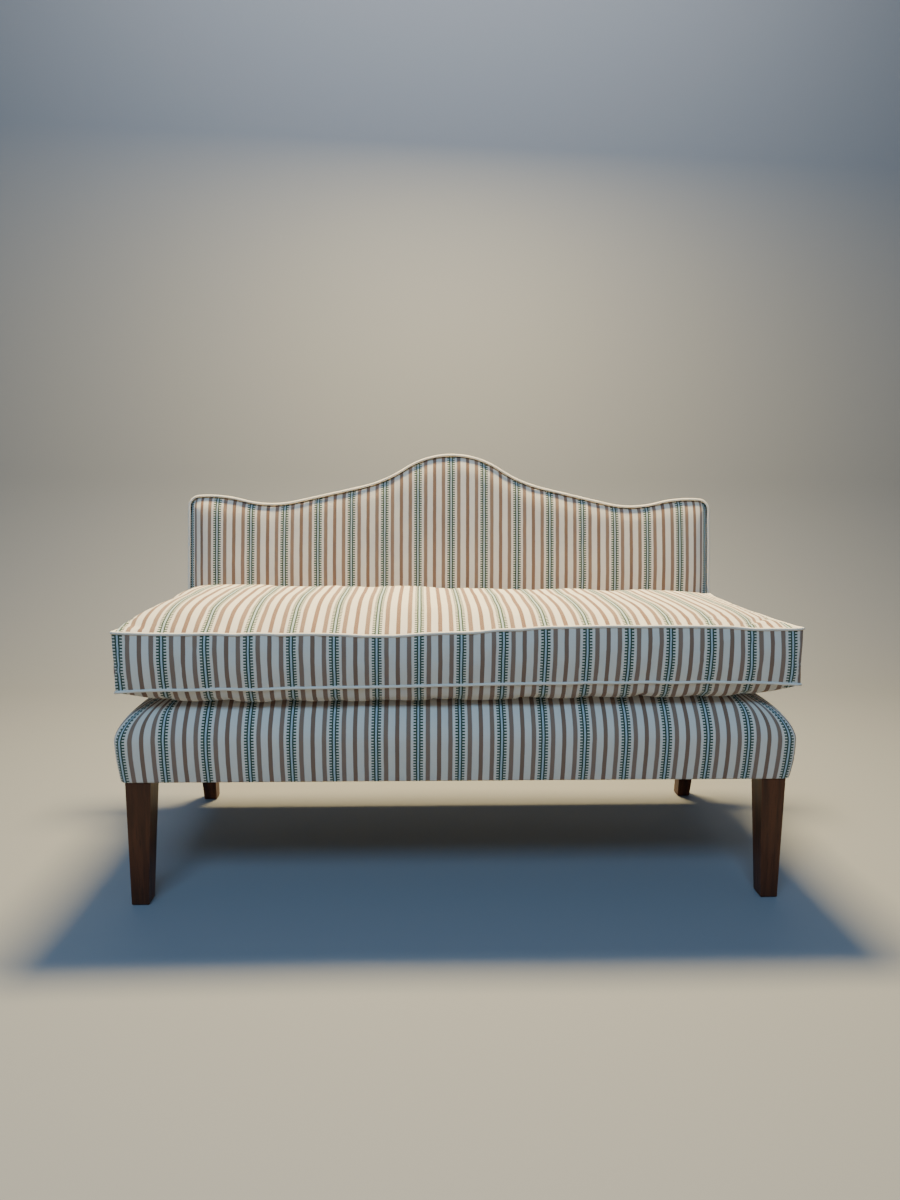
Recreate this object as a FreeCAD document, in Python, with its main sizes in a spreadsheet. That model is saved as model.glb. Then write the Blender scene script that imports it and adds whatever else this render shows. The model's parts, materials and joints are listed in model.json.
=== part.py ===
import FreeCAD, Part
import math
import os
import re
import Sketcher
from FreeCAD import Placement, Rotation, Vector

# An armless camel-back banquette: a beech frame on tapered legs, a webbed and padded
# seat base, a raked back with a serpentine top edge, and one loose boxed seat cushion.
# X runs along the seat, the front faces -Y, and the floor is z = 0 under the middle.

# Driving dimensions, in millimetres and degrees
SIZES = {
    "overall_depth": 592,
    "cover_thickness": 1.5,
    "pipe_radius": 3,
    "pipe_sides": 8,
    "fit_gap": 1,
    # Seat base
    "base_width": 1226,
    "base_bottom": 235,
    "base_top": 396,
    "base_setback": 12,
    "base_edge_radius": 70,
    "base_corner_radius": 14,
    "base_hem_radius": 8,
    "cover_turn_under": 32,
    # Legs and seat frame
    "frame_setback": 13,
    "leg_top_width": 45,
    "leg_foot_width": 31,
    "foot_chamfer": 2.5,
    "rail_thickness": 28,
    "rail_top": 330,
    "rear_rail_thickness": 24,
    "tenon_length": 25,
    "rear_tenon_length": 16,
    "tenon_thickness": 10,
    "tenon_shoulder": 14,
    "rear_foot_reach": 482,
    "rear_foot_width": 29,
    "rear_foot_splay": 8,
    "brace_width": 40,
    "brace_height": 55,
    "brace_rise": 10,
    "block_reach": 55,
    "block_height": 60,
    "rear_block_gap": 2,
    "screw_radius": 2.5,
    "screw_head_radius": 5,
    "screw_head_height": 3,
    "screw_length": 62,
    "screw_reach": 28,
    "rear_screw_shift": 6,
    # Back
    "back_rake": 8.5,
    "back_width": 1220,
    "back_thickness": 74,
    "back_tail": 12,
    "border_thickness": 2,
    "back_frame_depth": 38,
    "post_width": 45,
    "upright_clearance": 0.5,
    "crown_height": 600,
    "crown_radius": 204,
    "shoulder_radius": 316,
    "slope_angle": 13,
    "trough_offset": 419,
    "trough_height": 482,
    "trough_radius": 250,
    "hump_offset": 561,
    "hump_radius": 300,
    "corner_radius": 28,
    "top_rail_low": 430,
    "tack_rail_low": 185,
    "tack_rail_high": 235,
    "dowel_radius": 5,
    "dowel_length": 60,
    # Webbing and cloth inside
    "strap_width": 50,
    "strap_thickness": 2,
    "hessian_thickness": 1,
    "lining_thickness": 1,
    "long_strap_pitch": 82,
    "cross_strap_pitch": 112,
    "back_strap_pitch": 130,
    "strap_lap": 40,
    "cloth_margin": 16,
    "cloth_gap": 3,
    # Loose cushion
    "cushion_width": 1220,
    "cushion_depth": 451,
    "cushion_low": 412,
    "cushion_high": 515,
    "cushion_crown": 43,
    "cushion_sag": 17,
    "cushion_end": 165,
    "cushion_corner": 8,
    "border_inset": 1.5,
    "panel_inset": 6,
    "zip_length": 1150,
    "tape_height": 26,
    "tape_thickness": 1.2,
    "chain_height": 5,
    "chain_thickness": 1.5,
    "slider_length": 13,
    "slider_height": 9,
    "slider_thickness": 3.4,
    "slider_gap": 0.3,
    "pull_length": 24,
    "pull_thickness": 1.2,
}
CROSS_STRAPS = 9
LONG_STRAPS = 4
BACK_STRAPS = 8
DOWEL_FLUTES = 12
ALIAS = re.compile(r"[a-z]+(?:_[a-z]+)+")

doc = FreeCAD.newDocument("banquette")
sheet = doc.addObject("Spreadsheet::Sheet", "Sizes")
for row, (alias, size) in enumerate(SIZES.items(), 1):
    sheet.set(f"A{row}", alias)
    sheet.set(f"B{row}", str(size))
    sheet.setAlias(f"B{row}", alias)
doc.recompute()

# Expressions used by more than one piece
FRONT = "(-overall_depth/2)"
BASE_FRONT = f"({FRONT} + base_setback)"
FRAME_FRONT = f"({BASE_FRONT} + frame_setback)"
FRAME_SIDE = "(base_width/2 - frame_setback)"
RAIL_BOTTOM = "(base_bottom + cover_thickness)"
SIDE_RAIL_TOP = "(rail_top + strap_thickness)"
HESSIAN_LOW = "(rail_top + 2*strap_thickness)"
HESSIAN_TOP = f"({HESSIAN_LOW} + hessian_thickness)"
POST_OUTER = "(back_width/2 - border_thickness)"
POST_REAR = "(cover_thickness + lining_thickness)"
POST_FRONT = f"({POST_REAR} + back_frame_depth)"
PAD_REAR = f"({POST_FRONT} + strap_thickness + hessian_thickness)"
PIPE_INSET = "pipe_radius"
CUSHION_REAR = f"({FRONT} + cushion_depth)"
ZIP_HEIGHT = "((cushion_low + cushion_high)/2)"
SINE = "sin(back_rake*1deg)"
COSINE = "cos(back_rake*1deg)"

subparts = []


def number(expression):
    """The value of an expression over the sheet."""
    return float(sheet.evalExpression(expression))


def bind(item, **expressions):
    """Bind properties to expressions over the sheet; a double underscore is a dot."""
    for name, expression in expressions.items():
        item.setExpression(name.replace("__", "."), ALIAS.sub(r"Sizes.\g<0>", expression))


def place(item, x, y, z):
    bind(item, Placement__Base__x=x, Placement__Base__y=y, Placement__Base__z=z)


def name_piece(item, label):
    """Mark a finished sub-part and give it its node name."""
    item.Label = label
    subparts.append(item)
    return item


def box(name, x, y, z, length, width, height):
    item = doc.addObject("Part::Box", name)
    bind(item, Length=length, Width=width, Height=height)
    place(item, x, y, z)
    return item


def cut(name, base, tool):
    item = doc.addObject("Part::Cut", name)
    item.Base = base
    item.Tool = tool
    return item


def fuse(name, pieces):
    item = doc.addObject("Part::MultiFuse", name)
    item.Shapes = pieces
    return item


def common(name, pieces):
    item = doc.addObject("Part::MultiCommon", name)
    item.Shapes = pieces
    return item


def group(name, pieces):
    item = doc.addObject("Part::Compound", name)
    item.Links = pieces
    return item


def back_point(up, forward):
    """Y and Z of a point on the raked back, up from the base and forward of its rear face."""
    y = f"(overall_depth/2 + ({up} - crown_height)*{SINE} - ({forward})*{COSINE})"
    z = f"(base_bottom + ({up})*{COSINE} + ({forward})*{SINE})"
    return y, z


def lean(item, x, up, forward):
    """Place an item on the raked back: its own axes become across, up and forward."""
    item.Placement.Rotation = Rotation(Vector(1, 0, 0), 90 - number("back_rake"))
    place(item, x, *back_point(up, forward))
    return item


def back_box(name, x, up, forward, length, height, depth):
    return lean(box(name, "0", "0", "0", length, height, depth), x, up, forward)


def polygon_sketch(body, role, points):
    """A closed polygon on one of the body's planes, every corner bound to the sheet."""
    sketch = body.newObject("Sketcher::SketchObject", body.Name + "_sketch")
    plane = next(item for item in body.Origin.OriginFeatures if item.Role == role)
    sketch.AttachmentSupport = (plane, [""])
    sketch.MapMode = "FlatFace"
    corners = [Vector(number(x), number(y), 0) for x, y in points]
    count = len(corners)
    for index in range(count):
        sketch.addGeometry(Part.LineSegment(corners[index], corners[(index + 1) % count]))
    for index in range(count):
        sketch.addConstraint(Sketcher.Constraint("Coincident", index, 2, (index + 1) % count, 1))
    for index, (x, y) in enumerate(points):
        for kind, expression in (("DistanceX", x), ("DistanceY", y)):
            constraint = Sketcher.Constraint(kind, -1, 1, index, 1, number(expression))
            at = sketch.addConstraint(constraint)
            bind(sketch, **{f"Constraints[{at}]": expression})
    return sketch


def pad_body(name, role, points, length, midplane=False):
    """A body padded from one polygon."""
    body = doc.addObject("PartDesign::Body", name)
    pad = body.newObject("PartDesign::Pad", name + "_pad")
    pad.Profile = polygon_sketch(body, role, points)
    pad.Midplane = midplane
    bind(pad, Length=length)
    return body


def pocket_through(body, role, points):
    """Cut one polygon right through a body, both ways from its plane."""
    pocket = body.newObject("PartDesign::Pocket", body.Name + "_pocket")
    pocket.Profile = polygon_sketch(body, role, points)
    pocket.Type = "ThroughAll"
    pocket.Midplane = True
    return pocket


def chamfer_foot(body, feature):
    """Break the edges round the sole of a leg."""
    doc.recompute()
    edges = feature.Shape.Edges
    sole = [f"Edge{i}" for i, edge in enumerate(edges, 1) if edge.BoundBox.ZMax < 0.01]
    chamfer = body.newObject("PartDesign::Chamfer", body.Name + "_chamfer")
    chamfer.Base = (feature, sole)
    bind(chamfer, Size="foot_chamfer")


def rounded_box(name, inset, radius_of):
    """The seat base's block, inset all round, with the edges that radius_of picks rounded."""
    block = box(
        name + "_block",
        f"-base_width/2 + {inset}", f"{BASE_FRONT} + {inset}", f"base_bottom + {inset}",
        f"base_width - 2*{inset}", "overall_depth", f"base_top - base_bottom - 2*{inset}",
    )
    doc.recompute()
    bounds = block.Shape.BoundBox
    rounded = doc.addObject("Part::Fillet", name)
    rounded.Base = block
    edges = []
    for index, edge in enumerate(block.Shape.Edges, 1):
        radius = radius_of(edge.CenterOfMass, edge.tangentAt(edge.FirstParameter), bounds)
        if radius:
            edges.append((index, radius - number(inset), radius - number(inset)))
    rounded.Edges = edges
    return rounded


def end_radius(middle, along, bounds):
    """Rounding of the left and right ends, seen from the front."""
    if abs(along.y) < 0.5:
        return 0
    return number("base_edge_radius" if middle.z > bounds.Center.z else "base_hem_radius")


def front_radius(middle, along, bounds):
    """Rounding of the front edge, seen from the side."""
    if abs(along.x) < 0.5 or middle.y > bounds.Center.y:
        return 0
    return number("base_edge_radius" if middle.z > bounds.Center.z else "base_hem_radius")


def corner_radius(middle, along, bounds):
    """Rounding of the two front corners, seen from above."""
    if abs(along.z) < 0.5 or middle.y > bounds.Center.y:
        return 0
    return number("base_corner_radius")


def seat_form(name, inset):
    """The padded seat base: three rounded blocks in common, ending at the back uprights."""
    views = [
        rounded_box(f"{name}_{view}", inset, radius_of)
        for view, radius_of in (("ends", end_radius), ("front", front_radius), ("plan", corner_radius))
    ]
    return cut(name, common(name + "_views", views), behind_uprights)


# Rear legs run up as the back uprights, so the back's plane comes first
behind_uprights = back_box(
    "behind_uprights", "-base_width", "-base_top", "-base_width",
    "2*base_width", "2*crown_height", f"base_width + {POST_FRONT} + upright_clearance",
)
below_base = box(
    "below_base", "-base_width", "-base_width", "0",
    "2*base_width", "2*base_width", "base_bottom",
)


def front_leg(name, side):
    """A square leg, tapered on its two inner faces, with its post between the rails."""
    middle = "leg_top_width/2"
    profile = [
        (FRAME_FRONT, "0"),
        (f"{FRAME_FRONT} + leg_foot_width", "0"),
        (f"{FRAME_FRONT} + leg_top_width", "base_bottom"),
        (f"{FRAME_FRONT} + leg_top_width", "rail_top"),
        (FRAME_FRONT, "rail_top"),
    ]
    taper = [
        (f"-{side}*{middle}", "base_bottom"),
        (f"-{side}*({middle} + fit_gap)", "base_bottom"),
        (f"-{side}*({middle} + fit_gap)", "0"),
        (f"-{side}*(leg_foot_width - {middle})", "0"),
    ]
    body = pad_body(name, "YZ_Plane", profile, "leg_top_width", midplane=True)
    chamfer_foot(body, pocket_through(body, "XZ_Plane", taper))
    place(body, f"{side}*({FRAME_SIDE} - {middle})", "0", "0")
    return body


def rear_leg(name, side):
    """A leg that splays back to the floor and rakes back above the seat as an upright."""
    middle = "post_width/2"
    foot_front = f"{FRAME_FRONT} + rear_foot_reach"
    profile = [
        (foot_front, "0"),
        (f"{foot_front} + rear_foot_width", "0"),
        back_point("-border_thickness", POST_REAR),
        back_point("top_rail_low", POST_REAR),
        back_point("top_rail_low", POST_FRONT),
        back_point("0", POST_FRONT),
    ]
    body = pad_body(name, "YZ_Plane", profile, "post_width", midplane=True)
    inner_splay = "(post_width - rear_foot_width - rear_foot_splay)"
    for face, splay in ((side, "rear_foot_splay"), (-side, inner_splay)):
        taper = [
            (f"{face}*{middle}", "base_bottom"),
            (f"{face}*({middle} + fit_gap)", "base_bottom"),
            (f"{face}*({middle} + fit_gap)", "0"),
            (f"{face}*({middle} - {splay})", "0"),
        ]
        pocket = pocket_through(body, "XZ_Plane", taper)
    chamfer_foot(body, pocket)
    place(body, f"{side}*({POST_OUTER} - {middle})", "0", "0")
    return body


def long_rail(name, y, thickness, inner_side, tenon):
    """A rail across the seat, with a tenon at each end."""
    height = f"rail_top - {RAIL_BOTTOM}"
    body = box(name, f"-{inner_side}", y, RAIL_BOTTOM, f"2*{inner_side}", thickness, height)
    tenons = [
        box(
            f"{name}_tenon", x, f"{y} + ({thickness} - tenon_thickness)/2", f"{RAIL_BOTTOM} + tenon_shoulder",
            tenon, "tenon_thickness", f"{height} - 2*tenon_shoulder",
        )
        for x in (inner_side, f"-{inner_side} - {tenon}")
    ]
    return body, tenons


def side_rail(name, side, rear_post):
    """A rail from a front leg to a rear upright, its end cut to the rake, tenoned at both ends."""
    x = f"{side}*({FRAME_SIDE} - rail_thickness/2)"
    start = f"({FRAME_FRONT} + leg_top_width)"
    end = back_point("0", f"{POST_FRONT} - tenon_length")[0]
    height = f"{SIDE_RAIL_TOP} - {RAIL_BOTTOM}"
    body = box(
        name + "_body", f"{x} - rail_thickness/2", start, RAIL_BOTTOM,
        "rail_thickness", f"{end} - {start}", height,
    )
    trimmed = cut(name + "_trimmed", body, rear_post)
    tenons = [
        box(
            f"{name}_tenon", f"{x} - tenon_thickness/2", y, f"{RAIL_BOTTOM} + tenon_shoulder",
            "tenon_thickness", length, f"{height} - 2*tenon_shoulder",
        )
        for y, length in (
            (f"{start} - tenon_length", "2*tenon_length"),
            (f"{end} - 2*tenon_length", "2*tenon_length"),
        )
    ]
    return trimmed, tenons


# Seat frame
LEG_INNER = f"({FRAME_SIDE} - leg_top_width)"
POST_INNER = f"({POST_OUTER} - post_width)"
REAR_RAIL_FRONT = f"({back_point('0', POST_REAR)[0]} - rear_rail_thickness - fit_gap)"
front_rail, front_tenons = long_rail("front_rail", FRAME_FRONT, "rail_thickness", LEG_INNER, "tenon_length")
rear_rail, rear_tenons = long_rail(
    "rear_rail", REAR_RAIL_FRONT, "rear_rail_thickness", POST_INNER, "rear_tenon_length",
)
name_piece(fuse("front_seat_rail", [front_rail] + front_tenons), "front_seat_rail")
name_piece(fuse("rear_seat_rail", [rear_rail] + rear_tenons), "rear_seat_rail")

blocks = []
screws = []
BLOCK_BOTTOM = f"({RAIL_BOTTOM} + (rail_top - {RAIL_BOTTOM} - block_height)/2)"


def corner_block(name, side, front):
    """A block glued into a corner of the seat frame, notched round the leg, and its screw."""
    rail_face = f"({FRAME_SIDE} - rail_thickness)"
    if front:
        leg_x = LEG_INNER
        leg_y = f"({FRAME_FRONT} + leg_top_width)"
        rail_y = f"({FRAME_FRONT} + rail_thickness)"
        into = 1
    else:
        leg_x = POST_INNER
        leg_y = f"({back_point('0', POST_FRONT)[0]} - rear_block_gap)"
        rail_y = f"({REAR_RAIL_FRONT})"
        into = -1
    outline = [
        (f"{side}*{leg_x}", rail_y),
        (f"{side}*({leg_x} - block_reach)", rail_y),
        (f"{side}*{rail_face}", f"{leg_y} + {into}*block_reach"),
        (f"{side}*{rail_face}", leg_y),
        (f"{side}*{leg_x}", leg_y),
    ]
    body = pad_body(name, "XY_Plane", outline, "block_height")
    place(body, "0", "0", BLOCK_BOTTOM)
    return body


def corner_screw(name, side, front):
    """A countersunk wood screw driven through a corner block into the leg, at 45 degrees."""
    into = 1 if front else -1
    leg_x = LEG_INNER if front else POST_INNER
    rear_y = f"({back_point('0', POST_FRONT)[0]} - rear_block_gap)"
    leg_y = f"({FRAME_FRONT} + leg_top_width)" if front else rear_y
    shift = "0" if front else "rear_screw_shift"
    parts = []
    shank = doc.addObject("Part::Cylinder", name + "_shank")
    bind(shank, Radius="screw_radius", Height="screw_length")
    head = doc.addObject("Part::Cone", name + "_head")
    bind(head, Radius1="screw_head_radius", Radius2="screw_radius", Height="screw_head_height")
    direction = Vector(side, -into, 0)
    for item in (shank, head):
        item.Placement.Rotation = Rotation(Vector(0, 0, 1), direction)
        place(
            item, f"{side}*({leg_x} - screw_reach - {shift})", f"{leg_y} + {into}*screw_reach",
            f"{BLOCK_BOTTOM} + block_height/2",
        )
        parts.append(item)
    return fuse(name, parts)


for label, side in (("left", -1), ("right", 1)):
    post = rear_leg(f"rear_{label}_body", side)
    leg = front_leg(f"front_{label}_body", side)
    rail, rail_tenons = side_rail(f"{label}_rail", side, post)
    name_piece(fuse(f"{label}_seat_rail", [rail] + rail_tenons), f"{label}_seat_rail")
    front_screw = corner_screw(f"front_{label}_screw", side, True)
    rear_screw = corner_screw(f"rear_{label}_screw", side, False)
    screws += [front_screw, rear_screw]
    blocks.append(cut(f"front_{label}_block", corner_block(f"front_{label}_wedge", side, True), front_screw))
    seated = cut(f"rear_{label}_seated", corner_block(f"rear_{label}_wedge", side, False), post)
    blocks.append(cut(f"rear_{label}_block", seated, rear_screw))
    front_cuts = fuse(f"front_{label}_cuts", front_tenons + rail_tenons + [front_screw])
    rear_cuts = fuse(f"rear_{label}_cuts", rear_tenons + rail_tenons + [rear_screw])
    name_piece(cut(f"front_{label}_leg", leg, front_cuts), f"front_{label}_leg")
    if side < 0:
        left_post_cuts = (post, rear_cuts)
    else:
        right_post_cuts = (post, rear_cuts)

name_piece(group("corner_blocks", blocks), "corner_blocks")
name_piece(group("corner_block_screws", screws), "corner_block_screws")
BRACE_START = f"({FRAME_FRONT} + rail_thickness)"
name_piece(
    box(
        "seat_brace", "-brace_width/2", BRACE_START, f"{RAIL_BOTTOM} + brace_rise",
        "brace_width", f"{REAR_RAIL_FRONT} - {BRACE_START}", "brace_height",
    ),
    "seat_brace",
)


# Serpentine outline of the back, seen square on, as tangent arcs
def outline_points():
    """Arc centres and the points where the arcs meet, on the right-hand half."""
    half = number("back_width/2")
    slope = math.radians(number("slope_angle"))
    along = Vector(math.cos(slope), -math.sin(slope), 0)
    square = Vector(math.sin(slope), math.cos(slope), 0)
    crown = Vector(0, number("crown_height - crown_radius"), 0)
    trough = Vector(number("trough_offset"), number("trough_height + trough_radius"), 0)
    slope_end = trough - square * number("trough_radius")
    # The shoulder arc touches the slope and the crown's arc
    reach = number("crown_radius + shoulder_radius")
    start = slope_end + square * number("shoulder_radius") - crown
    run = start.dot(along)
    back_up = run - math.sqrt(run ** 2 - start.dot(start) + reach ** 2)
    shoulder = crown + start - along * back_up
    hump_reach = number("trough_radius + hump_radius")
    hump_drop = math.sqrt(hump_reach ** 2 - number("hump_offset - trough_offset") ** 2)
    hump = Vector(number("hump_offset"), trough.y - hump_drop, 0)
    corner_x = half - number("corner_radius")
    corner_rise = math.sqrt(number("hump_radius - corner_radius") ** 2 - (corner_x - hump.x) ** 2)
    corner = Vector(corner_x, hump.y + corner_rise, 0)
    centres = {"crown": crown, "shoulder": shoulder, "trough": trough, "hump": hump, "corner": corner}
    joints = [
        crown + (shoulder - crown) * (number("crown_radius") / reach),
        shoulder - square * number("shoulder_radius"),
        slope_end,
        trough + (hump - trough) * (number("trough_radius") / hump_reach),
        hump + (corner - hump).normalize() * number("hump_radius"),
        Vector(half, corner.y, 0),
        Vector(half, -number("back_tail"), 0),
    ]
    return centres, joints


def arc_between(centre, start, end):
    """The arc that runs anticlockwise from start to end."""
    radius = (start - centre).Length
    first = math.atan2(start.y - centre.y, start.x - centre.x)
    last = math.atan2(end.y - centre.y, end.x - centre.x)
    if last < first:
        last += 2 * math.pi
    return Part.ArcOfCircle(Part.Circle(centre, Vector(0, 0, 1), radius), first, last)


def mirrored(point):
    return Vector(-point.x, point.y, 0)


def outline_sketch():
    """The back's outline as one constrained sketch on the raked plane."""
    sketch = doc.addObject("Sketcher::SketchObject", "back_outline")
    centres, joints = outline_points()
    crown_end, slope_start, slope_end, rise, hump_end, side_top, side_foot = joints
    left = [mirrored(point) for point in joints]
    opposite = {name: mirrored(centre) for name, centre in centres.items()}
    sketch.addGeometry([
        arc_between(centres["crown"], crown_end, left[0]),
        arc_between(centres["shoulder"], crown_end, slope_start),
        Part.LineSegment(slope_start, slope_end),
        arc_between(centres["trough"], slope_end, rise),
        arc_between(centres["hump"], hump_end, rise),
        arc_between(centres["corner"], side_top, hump_end),
        Part.LineSegment(side_top, side_foot),
        Part.LineSegment(side_foot, left[6]),
        arc_between(opposite["shoulder"], left[1], left[0]),
        Part.LineSegment(left[1], left[2]),
        arc_between(opposite["trough"], left[3], left[2]),
        arc_between(opposite["hump"], left[3], left[4]),
        arc_between(opposite["corner"], left[4], left[5]),
        Part.LineSegment(left[5], left[6]),
    ])
    for first, first_end, second, second_end in (
        (0, 1, 1, 1), (1, 2, 2, 1), (2, 2, 3, 1), (3, 2, 4, 2), (4, 1, 5, 2), (5, 1, 6, 1),
    ):
        sketch.addConstraint(Sketcher.Constraint("Tangent", first, first_end, second, second_end))
    for first, first_end, second, second_end in (
        (6, 2, 7, 1), (0, 2, 8, 2), (8, 1, 9, 1), (9, 2, 10, 2), (10, 1, 11, 1),
        (11, 2, 12, 1), (12, 2, 13, 1), (13, 2, 7, 2),
    ):
        sketch.addConstraint(Sketcher.Constraint("Coincident", first, first_end, second, second_end))
    for first, first_end, second, second_end in (
        (0, 1, 0, 2), (1, 2, 8, 1), (2, 2, 9, 2), (3, 2, 10, 1), (4, 1, 11, 2), (5, 1, 12, 2), (7, 1, 7, 2),
    ):
        sketch.addConstraint(Sketcher.Constraint("Symmetric", first, first_end, second, second_end, -2))
    for right, copy in ((1, 8), (3, 10), (4, 11), (5, 12)):
        sketch.addConstraint(Sketcher.Constraint("Equal", right, copy))
    sketch.addConstraint(Sketcher.Constraint("PointOnObject", 0, 3, -2))
    sketch.addConstraint(Sketcher.Constraint("Vertical", 6))
    sized = [
        (("Radius", 0), "crown_radius"),
        (("Radius", 1), "shoulder_radius"),
        (("Radius", 3), "trough_radius"),
        (("Radius", 4), "hump_radius"),
        (("Radius", 5), "corner_radius"),
        (("DistanceY", -1, 1, 0, 3), "crown_height - crown_radius"),
        (("DistanceX", -1, 1, 3, 3), "trough_offset"),
        (("DistanceY", -1, 1, 3, 3), "trough_height + trough_radius"),
        (("DistanceX", -1, 1, 4, 3), "hump_offset"),
        (("DistanceX", -1, 1, 6, 2), "back_width/2"),
        (("DistanceY", -1, 1, 6, 2), "-back_tail"),
    ]
    for start, expression in sized:
        at = sketch.addConstraint(Sketcher.Constraint(*start, number(expression)))
        bind(sketch, **{f"Constraints[{at}]": expression})
    at = sketch.addConstraint(Sketcher.Constraint("Angle", 2, -math.radians(number("slope_angle"))))
    bind(sketch, **{f"Constraints[{at}]": "-slope_angle*1deg"})
    return lean(sketch, "0", "0", "0")


back_outline = outline_sketch()
RAKE = math.radians(number("back_rake"))
FORWARD = Vector(0, -math.cos(RAKE), math.sin(RAKE))


def inset_outline(name, source, inset):
    item = doc.addObject("Part::Offset2D", name)
    item.Source = source
    bind(item, Value=f"-({inset})")
    return item


def layer(name, outline, direction, near, far):
    """A slab over an outline, from near to far along its direction."""
    item = doc.addObject("Part::Extrusion", name)
    item.Base = outline
    item.DirMode = "Custom"
    item.Dir = direction
    item.Solid = True
    bind(item, LengthRev=f"-({near})", LengthFwd=far)
    return item


def back_layer(name, inset, near, far):
    return layer(name, inset_outline(name + "_outline", back_outline, inset), FORWARD, near, far)


# Seat base: padding over the rails and the fabric cover
cover_form = seat_form("cover_form", "0")
padding_form = seat_form("padding_form", "cover_thickness")
FRAME_WIDTH = f"2*{FRAME_SIDE}"
frame_space = box(
    "frame_space", f"-{FRAME_SIDE}", FRAME_FRONT, "0", FRAME_WIDTH, "overall_depth", HESSIAN_TOP,
)
name_piece(cut("seat_padding", padding_form, frame_space), "seat_padding")
underside = box(
    "underside", "-base_width/2 + cover_turn_under", f"{BASE_FRONT} + cover_turn_under", "0",
    "base_width - 2*cover_turn_under", "overall_depth", "base_top/2 + base_bottom/2",
)
leg_holes = [
    box(
        f"leg_hole_{index}", x, FRAME_FRONT, "0", "leg_top_width", "leg_top_width", "rail_top",
    )
    for index, x in enumerate((f"-{FRAME_SIDE}", LEG_INNER))
]
cover_shell = cut("cover_shell", cover_form, padding_form)
name_piece(cut("seat_cover", cover_shell, fuse("cover_opening", [underside] + leg_holes)), "seat_cover")

# Webbing, hessian and bottom cloth
cross_straps = [
    box(
        f"cross_strap_{index}", f"({index} - {CROSS_STRAPS - 1}/2)*cross_strap_pitch - strap_width/2",
        FRAME_FRONT, "rail_top",
        "strap_width", f"{REAR_RAIL_FRONT} + rear_rail_thickness/2 - {FRAME_FRONT}", "strap_thickness",
    )
    for index in range(CROSS_STRAPS)
]
long_straps = [
    box(
        f"long_strap_{index}", f"-{FRAME_SIDE}",
        f"{FRAME_FRONT} + ({index} + 1)*long_strap_pitch - strap_width/2", SIDE_RAIL_TOP,
        FRAME_WIDTH, "strap_width", "strap_thickness",
    )
    for index in range(LONG_STRAPS)
]
name_piece(group("seat_cross_webbing", cross_straps), "seat_cross_webbing")
name_piece(group("seat_long_webbing", long_straps), "seat_long_webbing")
hessian_sheet = box(
    "seat_hessian_sheet", f"-{FRAME_SIDE}", FRAME_FRONT, HESSIAN_LOW,
    FRAME_WIDTH, "overall_depth", "hessian_thickness",
)
name_piece(cut("seat_hessian", hessian_sheet, behind_uprights), "seat_hessian")

CLOTH_SIDE = "(base_width/2 - cloth_margin)"
CLOTH_FRONT = f"({BASE_FRONT} + cloth_margin)"
CLOTH_REAR = f"({REAR_RAIL_FRONT} + rear_rail_thickness/2)"
LEG_BACK = f"({FRAME_FRONT} + leg_top_width + fit_gap)"
POST_FACE = f"({back_point('0', POST_FRONT)[0]} - cloth_gap)"
right_edge = [
    (f"{LEG_INNER} - fit_gap", CLOTH_FRONT),
    (f"{LEG_INNER} - fit_gap", LEG_BACK),
    (CLOTH_SIDE, LEG_BACK),
    (CLOTH_SIDE, POST_FACE),
    (f"{POST_INNER} - fit_gap", POST_FACE),
    (f"{POST_INNER} - fit_gap", CLOTH_REAR),
]
left_edge = [(f"-({x})", y) for x, y in reversed(right_edge)]
cloth = pad_body("bottom_cloth", "XY_Plane", right_edge + left_edge, "lining_thickness")
place(cloth, "0", "0", "base_bottom - lining_thickness")
name_piece(cloth, "bottom_cloth")

# Back frame
rail_board = back_layer("rail_board", "border_thickness", POST_REAR, POST_FRONT)
under_top_rail = back_box(
    "under_top_rail", "-base_width", "-base_top", "-base_width",
    "2*base_width", "base_top + top_rail_low", "2*base_width",
)
top_rail = cut("top_rail", rail_board, under_top_rail)
dowels = []
for side in (-1, 1):
    for step in (-1, 1):
        dowel = doc.addObject("Part::Prism", "dowel")
        dowel.Polygon = DOWEL_FLUTES
        bind(dowel, Circumradius="dowel_radius", Height="dowel_length")
        lean(
            dowel, f"{side}*({POST_OUTER} - post_width/2) + {step}*post_width/4",
            "top_rail_low - dowel_length/2", f"({POST_REAR} + {POST_FRONT})/2",
        )
        dowel.Placement.Rotation = Rotation(Vector(1, 0, 0), -number("back_rake"))
        dowels.append(dowel)
name_piece(group("back_dowels", dowels), "back_dowels")
name_piece(cut("back_top_rail", top_rail, group("top_dowel_holes", dowels)), "back_top_rail")
for label, (post, post_cuts), pegs in (
    ("left", left_post_cuts, dowels[:2]), ("right", right_post_cuts, dowels[2:]),
):
    mortised = cut(f"rear_{label}_mortised", post, post_cuts)
    name_piece(cut(f"rear_{label}_leg", mortised, fuse(f"{label}_pegs", pegs)), f"rear_{label}_leg")
name_piece(
    back_box(
        "back_tacking_rail", f"-{POST_INNER}", "tack_rail_low", POST_REAR,
        f"2*{POST_INNER}", "tack_rail_high - tack_rail_low", "back_frame_depth",
    ),
    "back_tacking_rail",
)
name_piece(
    back_box(
        "back_centre_upright", "-post_width/2", "tack_rail_high", POST_REAR,
        "post_width", "top_rail_low - tack_rail_high", "back_frame_depth",
    ),
    "back_centre_upright",
)

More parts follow.
